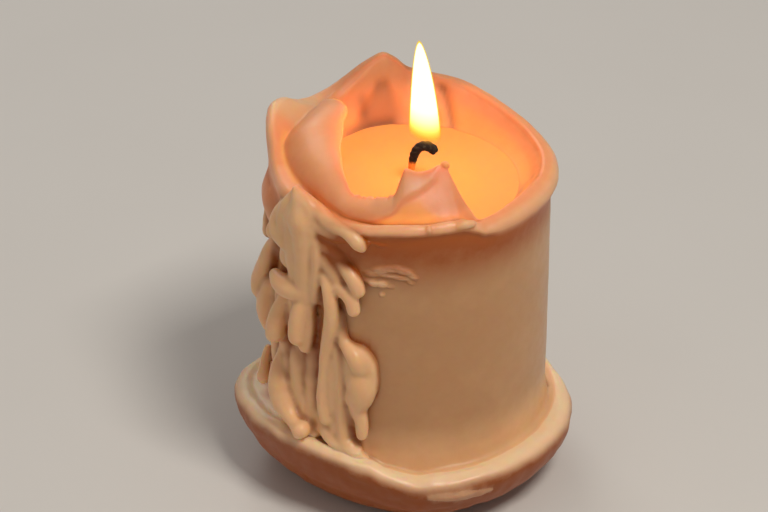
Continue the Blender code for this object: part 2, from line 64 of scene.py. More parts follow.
# The rim, one station a row, with heights above the pillar's rim level. The wall rises outside to the
# lip, falls into a fold, and rises again as a thin band that leans in over the pool to its free edge.
RIM = (
    # angle, flare, lip r, lip h, fold r, fold h, edge r, edge h, belly, edge thickness
    (0, 37.4, 35.7, -1.4, 33.9, -1.2, 32.2, -2.0, 0.2, 1.9),
    (20, 37.0, 35.4, -1.9, 33.8, -1.7, 32.2, -2.6, 0.2, 1.9),
    (39, 36.7, 35.2, -0.9, 33.8, -0.7, 32.3, -1.6, 0.2, 1.9),
    (56, 36.5, 35.1, 1.2, 33.8, 1.4, 32.5, 0.5, 0.2, 1.9),
    (70, 36.4, 35.0, 3.4, 33.8, 3.5, 32.5, 2.7, 0.2, 1.8),
    (82, 36.3, 34.9, 4.4, 33.8, 4.5, 32.6, 3.7, 0.2, 1.8),
    (91, 36.2, 34.9, 5.6, 33.9, 5.7, 32.8, 5.0, 0.2, 1.7),
    (97, 36.0, 34.9, 8.8, 34.1, 8.9, 33.1, 8.3, 0.2, 1.6),
    (102, 36.0, 34.9, 10.5, 34.2, 10.7, 33.2, 10.1, 0.2, 1.5),
    (109, 36.1, 34.9, 8.9, 33.9, 9.0, 32.6, 8.3, 0.2, 1.7),
    (118, 36.4, 35.0, 5.8, 33.7, 5.8, 31.8, 4.9, 0.3, 1.9),
    (127, 36.8, 35.1, 3.4, 33.0, 3.2, 30.8, 2.6, 0.3, 2.0),
    (136, 37.2, 35.3, 2.8, 31.6, 2.6, 28.4, 4.2, 0.5, 2.0),
    (142, 37.6, 35.5, 3.6, 29.9, 3.9, 24.6, 7.4, 0.9, 1.9),
    (148, 37.9, 35.6, 5.4, 28.4, 5.2, 20.4, 9.0, 1.2, 1.8),
    (155, 38.2, 35.8, 8.0, 28.6, 5.6, 18.0, 9.4, 1.5, 1.7),
    (164, 38.0, 35.9, 9.4, 29.3, 5.2, 17.2, 9.3, 2.0, 1.5),
    (174, 37.1, 35.4, 7.9, 31.0, 4.7, 17.2, 9.1, 2.5, 1.4),
    (184, 36.0, 34.7, 4.3, 32.3, 3.7, 17.3, 8.9, 3.0, 1.3),
    (194, 36.2, 34.9, 2.2, 32.2, 2.4, 17.9, 8.7, 3.1, 1.3),
    (206, 36.8, 35.4, 1.3, 32.1, 1.8, 19.8, 8.4, 2.9, 1.3),
    (220, 37.0, 35.8, 1.2, 32.3, 1.2, 22.8, 8.0, 2.4, 1.3),
    (232, 36.9, 35.6, 0.6, 33.0, 0.6, 26.8, 6.6, 1.8, 1.3),
    (241, 36.8, 35.4, -0.4, 33.4, -0.2, 29.2, 4.4, 1.5, 1.4),
    (252, 36.7, 35.2, 0.2, 33.3, -0.4, 28.0, 4.2, 1.5, 1.4),
    (260, 36.7, 35.1, 0.9, 33.3, -0.2, 27.0, 4.8, 1.3, 1.3),
    (266, 36.7, 35.1, 1.2, 33.3, 0.0, 23.2, 10.4, 1.1, 1.0),
    (274, 36.7, 35.1, 1.3, 33.3, 0.1, 23.8, 9.8, 0.7, 0.9),
    (281, 36.7, 35.1, 1.5, 33.3, 0.2, 23.8, 10.3, 0.3, 0.9),
    (286.4, 36.7, 35.1, 1.6, 33.3, 0.4, 23.4, 11.3, 0.0, 1.1),
    (290, 36.7, 35.0, 1.5, 33.2, 0.4, 23.6, 11.1, 0.0, 1.3),
    (292.3, 36.7, 34.9, 1.1, 33.2, 0.1, 26.4, 7.8, 0.0, 1.3),
    (296.2, 36.6, 34.7, -0.1, 33.1, -0.8, 30.4, 2.4, 0.0, 1.4),
    (301, 36.6, 34.5, -1.5, 33.3, -1.4, 32.4, -1.0, 0.0, 1.6),
    (310, 36.5, 34.4, -1.4, 33.2, -1.1, 31.9, -1.4, 0.2, 1.9),
    (322, 36.6, 34.5, -1.3, 32.9, -1.0, 31.1, -1.4, 0.3, 2.0),
    (334, 36.9, 34.8, -1.2, 33.0, -0.9, 31.2, -1.5, 0.3, 2.0),
    (347, 37.3, 35.4, -1.3, 33.7, -1.1, 31.9, -1.8, 0.2, 2.0),
)

# The puddle that set round the foot, with its rolled lip, and with heights above the floor.
PUDDLE = (
    # angle, lip's outer radius, lip height, lip's inner radius, floor height inside the lip
    (0, 41.8, 18.8, 36.7, 17.8),
    (20, 39.4, 18.6, 36.3, 17.6),
    (60, 39.2, 18.4, 36.2, 17.6),
    (100, 39.6, 18.8, 36.3, 17.8),
    (140, 40.0, 19.8, 36.4, 18.6),
    (163, 41.6, 21.2, 37.2, 20.0),
    (174, 45.2, 22.0, 39.2, 21.6),
    (184, 46.5, 22.3, 40.2, 21.9),
    (198, 45.0, 22.4, 39.6, 22.0),
    (214, 43.2, 23.0, 38.4, 22.4),
    (228, 42.4, 23.6, 37.8, 22.2),
    (242, 42.2, 23.0, 37.6, 21.6),
    (254, 42.2, 21.9, 37.2, 20.2),
    (260, 42.3, 19.9, 37.2, 18.6),
    (267, 42.5, 18.5, 37.2, 17.9),
    (274, 42.8, 17.6, 37.3, 17.0),
    (282, 43.4, 18.2, 37.5, 17.5),
    (300, 43.6, 18.8, 37.7, 17.8),
    (320, 43.9, 19.0, 37.8, 17.9),
    (338, 43.7, 19.0, 37.6, 17.9),
    (350, 43.0, 18.9, 37.2, 17.9),
)

# The crease that slants across the front flap.
CREASE = (
    # angle, place across the band, as a share of the way from its fold to its free edge
    (240, -0.12), (254, 0.02), (258, 0.22), (266, 0.42), (270, 0.52),
    (276, 0.66), (282, 0.77), (287, 0.84), (289, 0.95), (292, 1.05),
)

# Runs of wax down the left of the front, each a rounded finger along a path on the pillar's side.
RUNS = (
    # (angle, height, radius, how far the centre stands out from the pillar), from the top down
    # The knob at the top, the broad trunk below it, and the ridge down the trunk's right side.
    ((217.6, 93.6, 1.2, 0.8), (219.7, 92.0, 2.4, 0.8), (221.4, 89.8, 3.6, 0.6),
     (222.6, 87.0, 4.2, 0.8), (223.4, 83.0, 4.0, 0.9), (223.8, 78.0, 3.6, 0.9),
     (223.8, 73.0, 3.3, 0.9), (223.7, 68.4, 3.2, 0.9), (223.4, 64.4, 3.1, 0.8)),
    ((219.0, 92.4, 1.8, 0.6), (223.0, 91.5, 2.3, 0.5), (226.5, 90.0, 2.4, 0.2),
     (228.6, 87.4, 2.4, -0.1), (229.6, 85.0, 2.3, -0.4)),
    ((229.0, 85.0, 1.4, 0.3), (230.2, 81.6, 1.6, 1.0), (230.4, 78.0, 1.6, 1.3),
     (230.0, 73.4, 1.6, 1.3), (229.2, 68.6, 1.6, 1.2), (228.6, 64.5, 1.5, 0.8)),
    ((217.6, 88.4, 2.6, 0.2), (216.6, 84.0, 3.2, 0.5), (215.1, 77.9, 3.2, 0.6),
     (213.1, 72.3, 3.2, 0.3)),
    ((216.0, 91.0, 1.8, 0.6), (214.2, 88.0, 2.5, 1.2), (213.6, 84.0, 2.7, 1.9),
     (214.4, 80.0, 2.7, 1.9), (215.6, 75.5, 2.6, 1.1)),
    ((218.4, 90.6, 2.2, 0.6), (218.4, 87.0, 3.1, 1.0), (218.4, 82.0, 3.3, 1.3),
     (218.8, 77.0, 3.3, 1.2), (219.4, 71.0, 3.2, 0.8), (219.8, 66.0, 3.0, 0.4)),
    ((226.0, 89.5, 2.6, 0.5), (227.0, 86.0, 2.8, 0.5), (227.6, 82.0, 2.6, 0.4),
     (227.8, 78.0, 2.4, 0.3)),
    # The lump at the upper left, and the small lobe at its edge.
    ((214.8, 89.2, 1.7, 0.4), (211.2, 86.0, 2.6, 1.0), (208.9, 82.4, 3.1, 1.7),
     (210.8, 79.8, 3.2, 2.3), (214.6, 78.6, 2.7, 2.6)),
    ((205.5, 80.6, 1.6, 2.0), (203.4, 77.4, 1.6, 2.8), (202.8, 76.2, 1.4, 2.8)),
    # The left side, seen past the edge of the pillar.
    ((199.0, 72.6, 1.3, 1.0), (196.4, 69.4, 1.6, 1.8), (194.6, 65.6, 2.0, 2.5),
     (192.0, 61.2, 2.2, 3.2), (190.5, 57.0, 2.4, 3.8), (190.5, 54.4, 2.3, 3.9)),
    ((196.6, 57.6, 1.9, 2.0), (195.1, 52.9, 2.4, 3.0), (193.6, 48.2, 2.2, 3.0),
     (195.1, 44.9, 1.8, 2.4)),
    ((192.0, 36.2, 1.2, 2.2), (194.0, 34.0, 1.4, 3.2), (196.5, 32.2, 1.6, 4.0),
     (198.7, 30.9, 2.0, 4.6)),
    # Two blunt fingers side by side, and the ridge beside the second.
    ((211.2, 59.6, 1.7, 2.0), (209.8, 56.1, 2.2, 2.9), (209.1, 52.4, 2.6, 3.6),
     (208.4, 48.4, 2.6, 4.0)),
    ((223.5, 63.1, 2.0, 1.6), (222.8, 60.0, 2.4, 2.5), (222.1, 56.1, 2.6, 3.0),
     (222.0, 52.4, 2.6, 3.2)),
    ((226.0, 64.4, 1.5, 1.0), (226.0, 58.3, 1.7, 1.3), (225.2, 53.2, 1.8, 1.5),
     (223.8, 49.2, 1.9, 1.7)),
    # The hook, a fat lump with a blunt tip that points up to the left.
    ((208.0, 65.9, 1.7, 3.4), (211.8, 65.3, 2.5, 3.5), (217.0, 65.2, 2.9, 3.1),
     (222.4, 65.9, 3.0, 1.6), (226.4, 67.8, 2.2, 0.4)),
    # The long run right of the deep groove, and its thinner neighbour.
    ((231.0, 75.6, 1.4, -0.6), (233.4, 73.2, 1.6, 0.7), (236.1, 70.8, 1.7, 2.0),
     (237.6, 67.8, 1.9, 2.5), (238.2, 64.1, 2.0, 2.5), (237.5, 59.5, 2.1, 2.1),
     (235.7, 54.2, 1.9, 1.7), (234.2, 49.2, 1.6, 1.6), (233.6, 44.1, 1.6, 1.6),
     (233.5, 39.3, 1.8, 1.8), (233.7, 35.1, 1.9, 2.0), (235.0, 30.6, 1.9, 2.4)),
    ((237.5, 55.8, 1.0, 0.6), (239.4, 51.4, 1.1, 1.2), (240.5, 46.3, 1.2, 1.4),
     (241.1, 40.3, 1.3, 1.5), (241.6, 34.3, 1.4, 1.7), (242.2, 27.7, 1.5, 1.9),
     (242.5, 24.8, 1.6, 2.1)),
    # Fingers that fan out over the pillar.
    ((235.0, 78.8, 1.7, -1.5), (239.2, 78.0, 1.9, -0.7), (243.0, 76.8, 2.0, 0.3),
     (246.2, 75.2, 2.1, 1.2), (248.3, 73.5, 2.1, 1.7), (249.2, 72.0, 1.9, 1.8)),
    ((235.5, 71.8, 1.7, -0.2), (240.0, 71.2, 1.9, 0.9), (244.0, 70.3, 1.9, 1.8),
     (246.6, 68.8, 1.95, 2.3), (247.5, 66.3, 1.9, 2.4)),
    ((235.4, 76.0, 1.4, -0.5), (237.8, 74.0, 1.3, 0.5), (240.2, 72.2, 1.3, 1.1),
     (242.6, 70.9, 1.3, 1.5)),
    # The big drop at the right: its stem, its bright upper lobe, and its body with a finger below.
    ((240.3, 63.0, 1.2, -0.2), (241.2, 59.7, 1.3, 0.5), (242.0, 56.8, 1.4, 1.0),
     (243.3, 54.6, 1.7, 1.4)),
    ((243.3, 54.8, 1.7, 1.4), (246.0, 53.6, 2.2, 2.2), (248.7, 51.9, 2.4, 2.8),
     (250.0, 49.4, 2.1, 2.6)),
    ((245.6, 53.2, 1.8, 0.8), (248.9, 53.0, 2.2, 1.0), (251.4, 50.8, 2.6, 0.8),
     (252.6, 47.0, 2.8, 0.5), (252.6, 42.8, 2.8, 0.4)),
    ((246.9, 49.5, 2.5, 0.8), (249.1, 46.0, 3.6, 1.1), (250.1, 42.5, 4.0, 1.3),
     (249.0, 38.7, 3.5, 1.3), (248.8, 35.6, 2.3, 1.4), (250.3, 32.2, 1.8, 1.8),
     (250.5, 28.6, 1.6, 2.2)),
    ((241.7, 24.6, 1.7, 1.9), (245.4, 23.9, 2.3, 2.2), (248.3, 23.0, 2.0, 2.3)),
    ((233.0, 26.4, 2.0, 1.2), (237.0, 24.8, 2.2, 1.7), (242.0, 23.2, 2.2, 1.9),
     (247.0, 22.0, 2.0, 1.9), (251.0, 21.0, 1.6, 1.8)),
    # The drop that ran over the puddle's lip and ended in a ball.
    ((206.0, 42.4, 1.3, 0.8), (206.4, 39.2, 2.0, 1.4), (207.6, 36.4, 3.0, 2.2),
     (210.2, 33.4, 3.8, 2.8), (213.2, 30.6, 4.0, 3.3), (217.4, 28.4, 3.0, 4.3),
     (221.4, 27.2, 2.0, 5.1), (224.2, 26.6, 1.9, 5.5), (226.5, 26.2, 2.5, 5.7)),
    ((221.2, 34.4, 1.0, 1.4), (223.0, 31.2, 1.1, 1.8), (224.4, 28.2, 1.2, 2.0)),
    # The arm under the lip, with a knob at its end.
    ((226.0, 90.8, 1.8, -0.4), (230.2, 89.9, 2.0, -0.2), (233.9, 89.0, 2.0, 0.2),
     (238.4, 88.3, 1.8, 0.6), (243.0, 88.0, 1.6, 1.0), (247.2, 87.1, 1.9, 1.7),
     (249.4, 85.8, 1.9, 1.8), (250.3, 84.9, 1.5, 1.5)),
    # A roll low on the puddle's side.
    ((271.0, 15.0, 0.6, 6.1), (276.0, 14.5, 1.2, 6.7), (282.0, 14.2, 1.7, 6.95),
     (288.0, 13.8, 1.8, 6.95), (294.0, 13.4, 1.5, 6.8), (299.0, 13.2, 1.1, 6.5),
     (303.0, 13.2, 0.6, 6.1)),
    # The masses behind them all.
    ((209, 87, 2.6, -0.6), (207, 82, 3.0, -0.6), (201, 76, 2.8, -1.2)),
    ((216, 88, 3.0, -0.6), (217, 81, 3.4, -0.8), (219, 74, 3.4, -1.2), (218, 67, 4.2, -1.8),
     (217, 58, 4.8, -2.2), (219, 47, 4.4, -2.6), (220, 38, 4.2, -2.6)),
    ((223, 86, 2.8, -0.8), (225, 78, 3.0, -1.4), (226, 70, 3.2, -1.8)),
    ((229.5, 87, 2.8, -0.3), (234, 86, 2.6, -0.4), (239, 85.4, 2.2, -0.6), (243.5, 85.2, 1.5, -0.5)),
    ((230, 82, 2.8, -0.8), (235, 81, 2.8, -1.2), (240, 80, 2.2, -1.2)),
    ((230, 79, 2.8, -0.7), (234.3, 76.4, 2.7, -0.5), (238.2, 74.1, 2.6, -0.3), (242, 71, 2.3, 0.1)),
    ((207, 63, 4.0, -1.6), (206, 55, 4.4, -1.6), (207, 47, 4.0, -1.6), (208, 40, 3.2, -1.4)),
    ((198, 71, 3.0, -1.4), (190, 64, 3.2, -0.6), (185.5, 58, 3.0, 0.6), (184.5, 53, 2.8, 0.9)),
    ((198, 58, 3.6, -1.2), (198, 47, 3.2, -0.8), (200, 36, 3.0, -0.4)),
    ((178, 80, 2.0, -0.4), (176, 71, 2.0, 0.4), (176, 66, 2.3, 0.7)),
    ((235, 66, 3.0, -1.8), (234, 54, 3.2, -2.0), (233, 42, 3.4, -2.0), (234, 30, 3.6, -1.4)),
    ((238, 75, 2.6, -1.6), (241, 72, 2.4, -1.2), (243, 69.5, 1.8, -0.6)),
    ((237.5, 54, 2.0, 0.0), (237.3, 46, 2.3, 0.2), (237.5, 36, 2.5, 0.2), (238.5, 27, 2.6, 0.4)),
    ((244, 53, 2.2, 0.0), (244.6, 46, 2.8, -0.4), (245, 38, 2.8, -0.6), (245, 31, 2.4, -0.6)),
    ((226, 48, 3.0, -1.6), (226, 38, 3.2, -1.0), (226.5, 28, 3.0, 0.0), (227, 24, 3.0, 0.8)),
    ((217, 44, 3.6, -1.4), (218, 36, 4.0, -1.0), (219, 29, 3.8, -0.4)),
    ((210, 40, 3.6, -1.4), (211, 34, 3.8, -0.6), (213, 27, 4.2, 0.2)),
    ((242, 40, 3.0, -2.0), (242, 32, 3.2, -1.6), (243, 23, 3.6, -0.6)),
    ((231, 30, 3.0, -0.6), (235, 26.5, 3.0, 0.0), (240, 25, 2.8, 0.2)),
    # Small rolls on the front lip and just under it, and the blob on the flap's corner.
    ((287.8, 90.4, 0.9, 0.4), (291.0, 90.8, 1.2, 0.8), (294.6, 90.4, 1.0, 0.6)),
    ((276.3, 91.2, 0.7, 0.2), (276.5, 90.3, 0.9, 0.7), (276.6, 89.5, 0.6, 0.6)),
    ((253.5, 86.0, 0.8, -0.2), (257.5, 85.5, 0.9, 0.0), (262.0, 85.3, 0.7, -0.3)),
    ((288.6, 100.6, 0.8, -12.4), (290.0, 101.0, 1.1, -11.8), (291.2, 100.5, 0.9, -11.5)),
)

# A smear of wax that was pressed on beside the runs, as low mounds with long fine ridges.
SMEAR = (
    # angle, height, half width, half height, rise, tilt
    (253.6, 76.6, 2.6, 1.2, 0.55, 10),
    (257.6, 78.0, 2.7, 1.3, 0.85, 12),
    (262.2, 78.7, 2.9, 1.1, 0.95, 4),
    (266.6, 78.2, 2.6, 1.1, 0.90, -12),
    (270.0, 76.9, 2.0, 1.0, 0.75, -35),
    (260.6, 76.8, 3.0, 0.9, 0.70, 2),
    (265.4, 76.2, 2.8, 0.9, 0.65, -8),
    (269.4, 74.9, 1.5, 0.8, 0.50, -30),
    (251.6, 74.3, 1.6, 0.9, 0.50, 5),
    (254.6, 73.9, 1.8, 1.2, 0.80, 0),
    (258.0, 74.0, 1.7, 1.2, 0.85, 8),
    (261.2, 73.5, 1.3, 0.8, 0.50, -5),
    (258.0, 70.8, 0.9, 0.8, 0.55, 0),
)


class Slot(Enum):
    """The record's material slots."""

    WAX = "wax"
    MOLTEN = "molten_wax"
    WICK = "wick"
    FLAME = "flame"


class Solver(Enum):
    """The Boolean solvers, the quick one first."""

    QUICK = "MANIFOLD"
    SURE = "EXACT"


# ---------------------------------------------------------------------------------------------
# Numbers
# ---------------------------------------------------------------------------------------------


def window(x: np.ndarray, low: float, high: float, soft: float) -> np.ndarray:
    """1 between low and high, falling smoothly to 0 over the soft width outside each.

    Args:
        x: the places to weigh.
        low: where the plateau begins.
        high: where it ends.
        soft: the width of the fall on each side.

    Returns:
        One weight for each place.
    """
    up = np.clip((x - low) / soft + 1, 0, 1)
    down = np.clip((high - x) / soft + 1, 0, 1)
    return (up * up * (3 - 2 * up)) * (down * down * (3 - 2 * down))


def stations(table: Sequence[Sequence[float]], column: int, angles: np.ndarray) -> np.ndarray:
    """One column of a table of stations, carried round smoothly with no overshoot.

    Args:
        table: rows that begin with an angle, in order round the circle.
        column: the column to read.
        angles: where to read it, in degrees.

    Returns:
        The column's value at each angle.
    """
    rows = np.array(table, float)
    knots = np.concatenate([rows[-2:, 0] - 360, rows[:, 0], rows[:2, 0] + 360])
    values = np.concatenate([rows[-2:, column], rows[:, column], rows[:2, column]])
    steps = np.diff(knots)
    slopes = np.diff(values) / steps
    before, after = slopes[:-1], slopes[1:]
    turns = before * after <= 0
    tangents = np.zeros(len(knots))
    tangents[1:-1] = np.where(turns, 0, 2 * before * after / np.where(turns, 1, before + after))
    spot = np.mod(np.asarray(angles, float), 360)
    i = np.clip(np.searchsorted(knots, spot, side="right") - 1, 1, len(knots) - 3)
    t = (spot - knots[i]) / steps[i]
    rise = values[i] * (1 + 2 * t) * (1 - t) ** 2 + values[i + 1] * t**2 * (3 - 2 * t)
    bend = tangents[i] * t * (1 - t) ** 2 - tangents[i + 1] * t**2 * (1 - t)
    return rise + bend * steps[i]


def refine(keys: np.ndarray, steps: Sequence[int]) -> np.ndarray:
    """A smooth centripetal curve through rows of keys, every column at once.

    Args:
        keys: (row, column, channels); the first two channels set the spacing.
        steps: how many rows each span between two keys becomes.

    Returns:
        The rows of the curve, with the last key as its last row.
    """
    rows = np.concatenate([2 * keys[:1] - keys[1:2], keys, 2 * keys[-1:] - keys[-2:-1]])
    gaps = np.sqrt(np.linalg.norm(np.diff(rows[..., :2], axis=0), axis=2, keepdims=True)) + 1e-4
    out = []
    for i, count in enumerate(steps, start=1):
        t0 = np.zeros_like(gaps[0])
        t1 = t0 + gaps[i - 1]
        t2 = t1 + gaps[i]
        t3 = t2 + gaps[i + 1]
        for k in range(count):
            t = t1 + (t2 - t1) * k / count
            a = ((t1 - t) * rows[i - 1] + (t - t0) * rows[i]) / (t1 - t0)
            b = ((t2 - t) * rows[i] + (t - t1) * rows[i + 1]) / (t2 - t1)
            c = ((t3 - t) * rows[i + 1] + (t - t2) * rows[i + 2]) / (t3 - t2)
            d = ((t2 - t) * a + (t - t0) * b) / (t2 - t0)
            e = ((t3 - t) * b + (t - t1) * c) / (t3 - t1)
            out.append(((t2 - t) * d + (t - t1) * e) / (t2 - t1))
    out.append(keys[-1])
    return np.array(out)


def crowded(count: int, spans: Iterable[tuple[float, float, float, float]]) -> np.ndarray:
    """Angles round a circle, closer together in some spans.

    Args:
        count: how many angles.
        spans: (low, high, soft, extra density) of each crowded span.

    Returns:
        The angles, in degrees from 0.
    """
    fine = np.linspace(0, 360, 1441)
    density = np.ones_like(fine)
    for low, high, soft, extra in spans:
        density += extra * window(fine, low, high, soft)
    share = np.concatenate([[0], np.cumsum((density[1:] + density[:-1]) / 2)])
    return np.interp(np.arange(count) / count * share[-1], share, fine)


def around(
    radius: np.ndarray | float, angle: np.ndarray, height: np.ndarray | float
) -> np.ndarray:
    """Turns round measures into points.

    Args:
        radius: how far each point is from the axis.
        angle: where it is round the axis, in degrees.
        height: how high it is.

    Returns:
        The points, with x, y and z along a new last axis.
    """
    turn = np.radians(angle)
    parts = np.broadcast_arrays(radius * np.cos(turn), radius * np.sin(turn), height)
    return np.stack(parts, axis=-1)


def plainness(climb: np.ndarray) -> np.ndarray:
    """1 where the rim is one plain crest, and 0 where its band climbs well above the fold."""
    return 1 - np.clip((climb - 0.3) / 1.6, 0, 1)


def lumps(points: np.ndarray, size: float, octaves: int = 2, offset: float = 0.0) -> np.ndarray:
    """Soft noise at each point, about -1 to 1.

    Args:
        points: places in millimetres.
        size: the width of a lump, in millimetres.
        octaves: how many layers there are, each finer than the last.
        offset: shifts the pattern, so that two uses differ.

    Returns:
        One value for each point.
    """
    moved = points / size + offset
    return np.array([noise.fractal(Vector(p), 1.0, 2.0, octaves) for p in moved])


class Spots:
    """Places on the candle, by their radius, their angle in degrees and their height."""

    def __init__(self, points: np.ndarray) -> None:
        """Measures the places.

        Args:
            points: one row of x, y and z for each, in millimetres.
        """
        self.points = points
        self.radius = np.hypot(points[:, 0], points[:, 1])
        self.angle = np.degrees(np.arctan2(points[:, 1], points[:, 0])) % 360
        self.height = points[:, 2]

    def within(self, **spans: Sequence[float]) -> np.ndarray:
        """Weighs the places by some of their measures.

        Args:
            **spans: the (low, high, soft) span of each named measure.

        Returns:
            How far each place lies within all the spans, from 0 to 1.
        """
        weight = np.ones(len(self.points))
        for measure, span in spans.items():
            weight = weight * window(getattr(self, measure), *span)
        return weight

    def on(self, area: "Area") -> np.ndarray:
        """How far each place lies in this area, from 0 to 1."""
        return self.within(**area.value)


class Area(Enum):
    """Areas of the wax that are shaped or painted apart, many with painted light or shade, each by its
    (low, high, soft) spans.
    """

    PUDDLE = {"height": (1.5, 24, 2), "radius": (36.5, 60, 1.5)}
    PUDDLE_TOP = {"height": (-5, 21, 12)}
    PUDDLE_LIP = {"radius": (38.4, 60, 1)}
    PUDDLE_FOOT = {"height": (0, 17, 2)}
    PUDDLE_FLOOR = {"height": (12, 22, 2), "angle": (258, 360, 5)}
    WRINKLES = {"angle": (205, 292, 12)}
    SIDE = {"height": (26, 84, 6)}
    SMEAR = {"angle": (250, 273, 2), "height": (69, 81, 2)}
    SMEAR_SKIN = {"angle": (250, 273, 2), "height": (69, 81, 1)}
    UNDER_RUNS = {"radius": (0, PILLAR_RADIUS + 0.8, 1.8), "height": (25, 88, 3)}
    PROUD_RUNS = {"radius": (PILLAR_RADIUS + 2.6, 60, 2.4)}
    RIM = {"height": (84, 110, 5)}
    TOP = {"height": (90, 120, 3)}
    CRATER = {"height": (70, 100, 2), "radius": (0, 31, 1.5)}
    PEAK = {"angle": (70, 128, 12), "radius": (0, 35.5, 1), "height": (96, 120, 8)}
    FLAP = {"angle": (254, 296, 6), "height": (93, 103, 2), "radius": (20, 33, 1)}
    FOLD = {"angle": (140, 214, 8), "height": (90, 98, 3), "radius": (28, 34.5, 1.5)}
    BLOTCHES = {"angle": (325, 360, 8), "height": (83, 100, 1), "radius": (0, 33, 0.5)}


# ---------------------------------------------------------------------------------------------
# Meshes
# ---------------------------------------------------------------------------------------------


def pick(obj: bpy.types.Object) -> None:
    """Selects one object alone and makes it the active one.

    Args:
        obj: the object.
    """
    bpy.ops.object.select_all(action="DESELECT")
    obj.select_set(True)
    bpy.context.view_layer.objects.active = obj


def apply_modifier(obj: bpy.types.Object, kind: str, **settings: object) -> None:
    """Adds a modifier with these settings and applies it.

    Args:
        obj: the object to change.
        kind: the modifier's type, such as REMESH.
        **settings: its properties.
    """
    pick(obj)
    modifier = obj.modifiers.new(kind.title(), kind)
    for name, value in settings.items():
        setattr(modifier, name, value)
    bpy.ops.object.modifier_apply(modifier=modifier.name)


def skin(name: str, rings: np.ndarray) -> bpy.types.Object:
    """A closed skin through rings of points, made from a grid whose seam and ends are closed.

    Args:
        name: the object's name.
        rings: points in millimetres as (ring, column, xyz), counter-clockwise, from below upwards
            on the outside.

    Returns:
        The new object, with its normals outwards.
    """
    bpy.ops.object.select_all(action="DESELECT")
    bpy.ops.mesh.primitive_grid_add(
        x_subdivisions=rings.shape[1], y_subdivisions=rings.shape[0] - 1, size=1
    )
    obj = bpy.context.object
    obj.name = obj.data.name = name
    closed = np.concatenate([rings, rings[:, :1]], axis=1)
    obj.data.vertices.foreach_set("co", (closed * MM).ravel())
    bpy.ops.object.mode_set(mode="EDIT")
    bpy.ops.mesh.select_all(action="SELECT")
    bpy.ops.mesh.remove_doubles(threshold=1e-7)
    bpy.ops.mesh.select_all(action="DESELECT")
    bpy.ops.mesh.select_non_manifold()
    bpy.ops.mesh.fill_holes(sides=0)
    bpy.ops.mesh.select_all(action="SELECT")
    bpy.ops.mesh.normals_make_consistent(inside=False)
    bpy.ops.object.mode_set(mode="OBJECT")
    return obj


def turned(name: str, outline: Sequence[tuple[float, float]], columns: int) -> bpy.types.Object:
    """A skin turned about the vertical axis.

    Args:
        name: the object's name.
        outline: (radius, height) in millimetres, from below upwards on the outside.
        columns: how many facets go round.

    Returns:
        The new object.
    """
    angles = np.arange(columns) * 360 / columns
    return skin(name, np.array([around(radius, angles, height) for radius, height in outline]))


def places(obj: bpy.types.Object) -> np.ndarray:
    """Reads the vertices of an object.

    Args:
        obj: the object.

    Returns:
        One row of x, y and z for each vertex, in millimetres.
    """
    flat = np.empty(len(obj.data.vertices) * 3, np.float32)
    obj.data.vertices.foreach_get("co", flat)
    return flat.reshape(-1, 3).astype(float) / MM


def put(obj: bpy.types.Object, points: np.ndarray) -> None:
    """Moves the vertices of an object to these places, in millimetres."""
    obj.data.vertices.foreach_set("co", (points * MM).astype(np.float32).ravel())
    obj.data.update()


def normals(obj: bpy.types.Object) -> np.ndarray:
    """Reads the vertex normals of an object.

    Args:
        obj: the object.

    Returns:
        One unit row for each vertex.
    """
    flat = np.empty(len(obj.data.vertices) * 3, np.float32)
    obj.data.vertex_normals.foreach_get("vector", flat)
    return flat.reshape(-1, 3).astype(float)


def links(obj: bpy.types.Object) -> np.ndarray:
    """Reads the edges of an object.

    Args:
        obj: the object.

    Returns:
        A pair of vertex numbers for each edge.
    """
    flat = np.empty(len(obj.data.edges) * 2, np.int32)
    obj.data.edges.foreach_get("vertices", flat)
    return flat.reshape(-1, 2)


def averaged(values: np.ndarray, edges: np.ndarray, rounds: int) -> np.ndarray:
    """Values smoothed over their neighbours along the edges.

    Args:
        values: one row for each vertex.
        edges: pairs of vertex numbers.
        rounds: how many times each value takes its neighbours' mean.

    Returns:
        The smoothed values.
    """
    ends = np.concatenate([edges, edges[:, ::-1]])
    share = np.bincount(ends[:, 0], minlength=len(values)).clip(1)
    for _ in range(rounds):
        sums = [
            np.bincount(ends[:, 0], weights=values[ends[:, 1], k], minlength=len(values))
            for k in range(values.shape[1])
        ]
        values = 0.5 * values + 0.5 * np.stack(sums, 1) / share[:, None]
    return values


def paint(obj: bpy.types.Object, name: str, values: np.ndarray) -> None:
    """Keeps one number for each vertex, which the materials read by this name."""
    layer = obj.data.attributes.new(name, "FLOAT", "POINT")
    layer.data.foreach_set("value", values.astype(np.float32))


def keep_largest_shell(obj: bpy.types.Object) -> None:
    """Takes away every closed skin but the largest, such as a trapped bubble.

    Args:
        obj: the object, which is changed.
    """
    count = len(obj.data.vertices)
    label = np.arange(count)
    edges = links(obj)
    while True:
        lowest = np.minimum(label[edges[:, 0]], label[edges[:, 1]])
        fresh = label.copy()
        np.minimum.at(fresh, edges[:, 0], lowest)
        np.minimum.at(fresh, edges[:, 1], lowest)
        fresh = fresh[fresh]
        if np.array_equal(fresh, label):
            break
        label = fresh
    main_shell = np.bincount(label, minlength=count).argmax()
    pick(obj)
    bpy.ops.object.mode_set(mode="EDIT")
    bpy.ops.mesh.select_mode(type="VERT")
    bpy.ops.mesh.select_all(action="DESELECT")
    bpy.ops.object.mode_set(mode="OBJECT")
    obj.data.vertices.foreach_set("select", label != main_shell)
    bpy.ops.object.mode_set(mode="EDIT")
    bpy.ops.mesh.delete(type="VERT")
    bpy.ops.object.mode_set(mode="OBJECT")


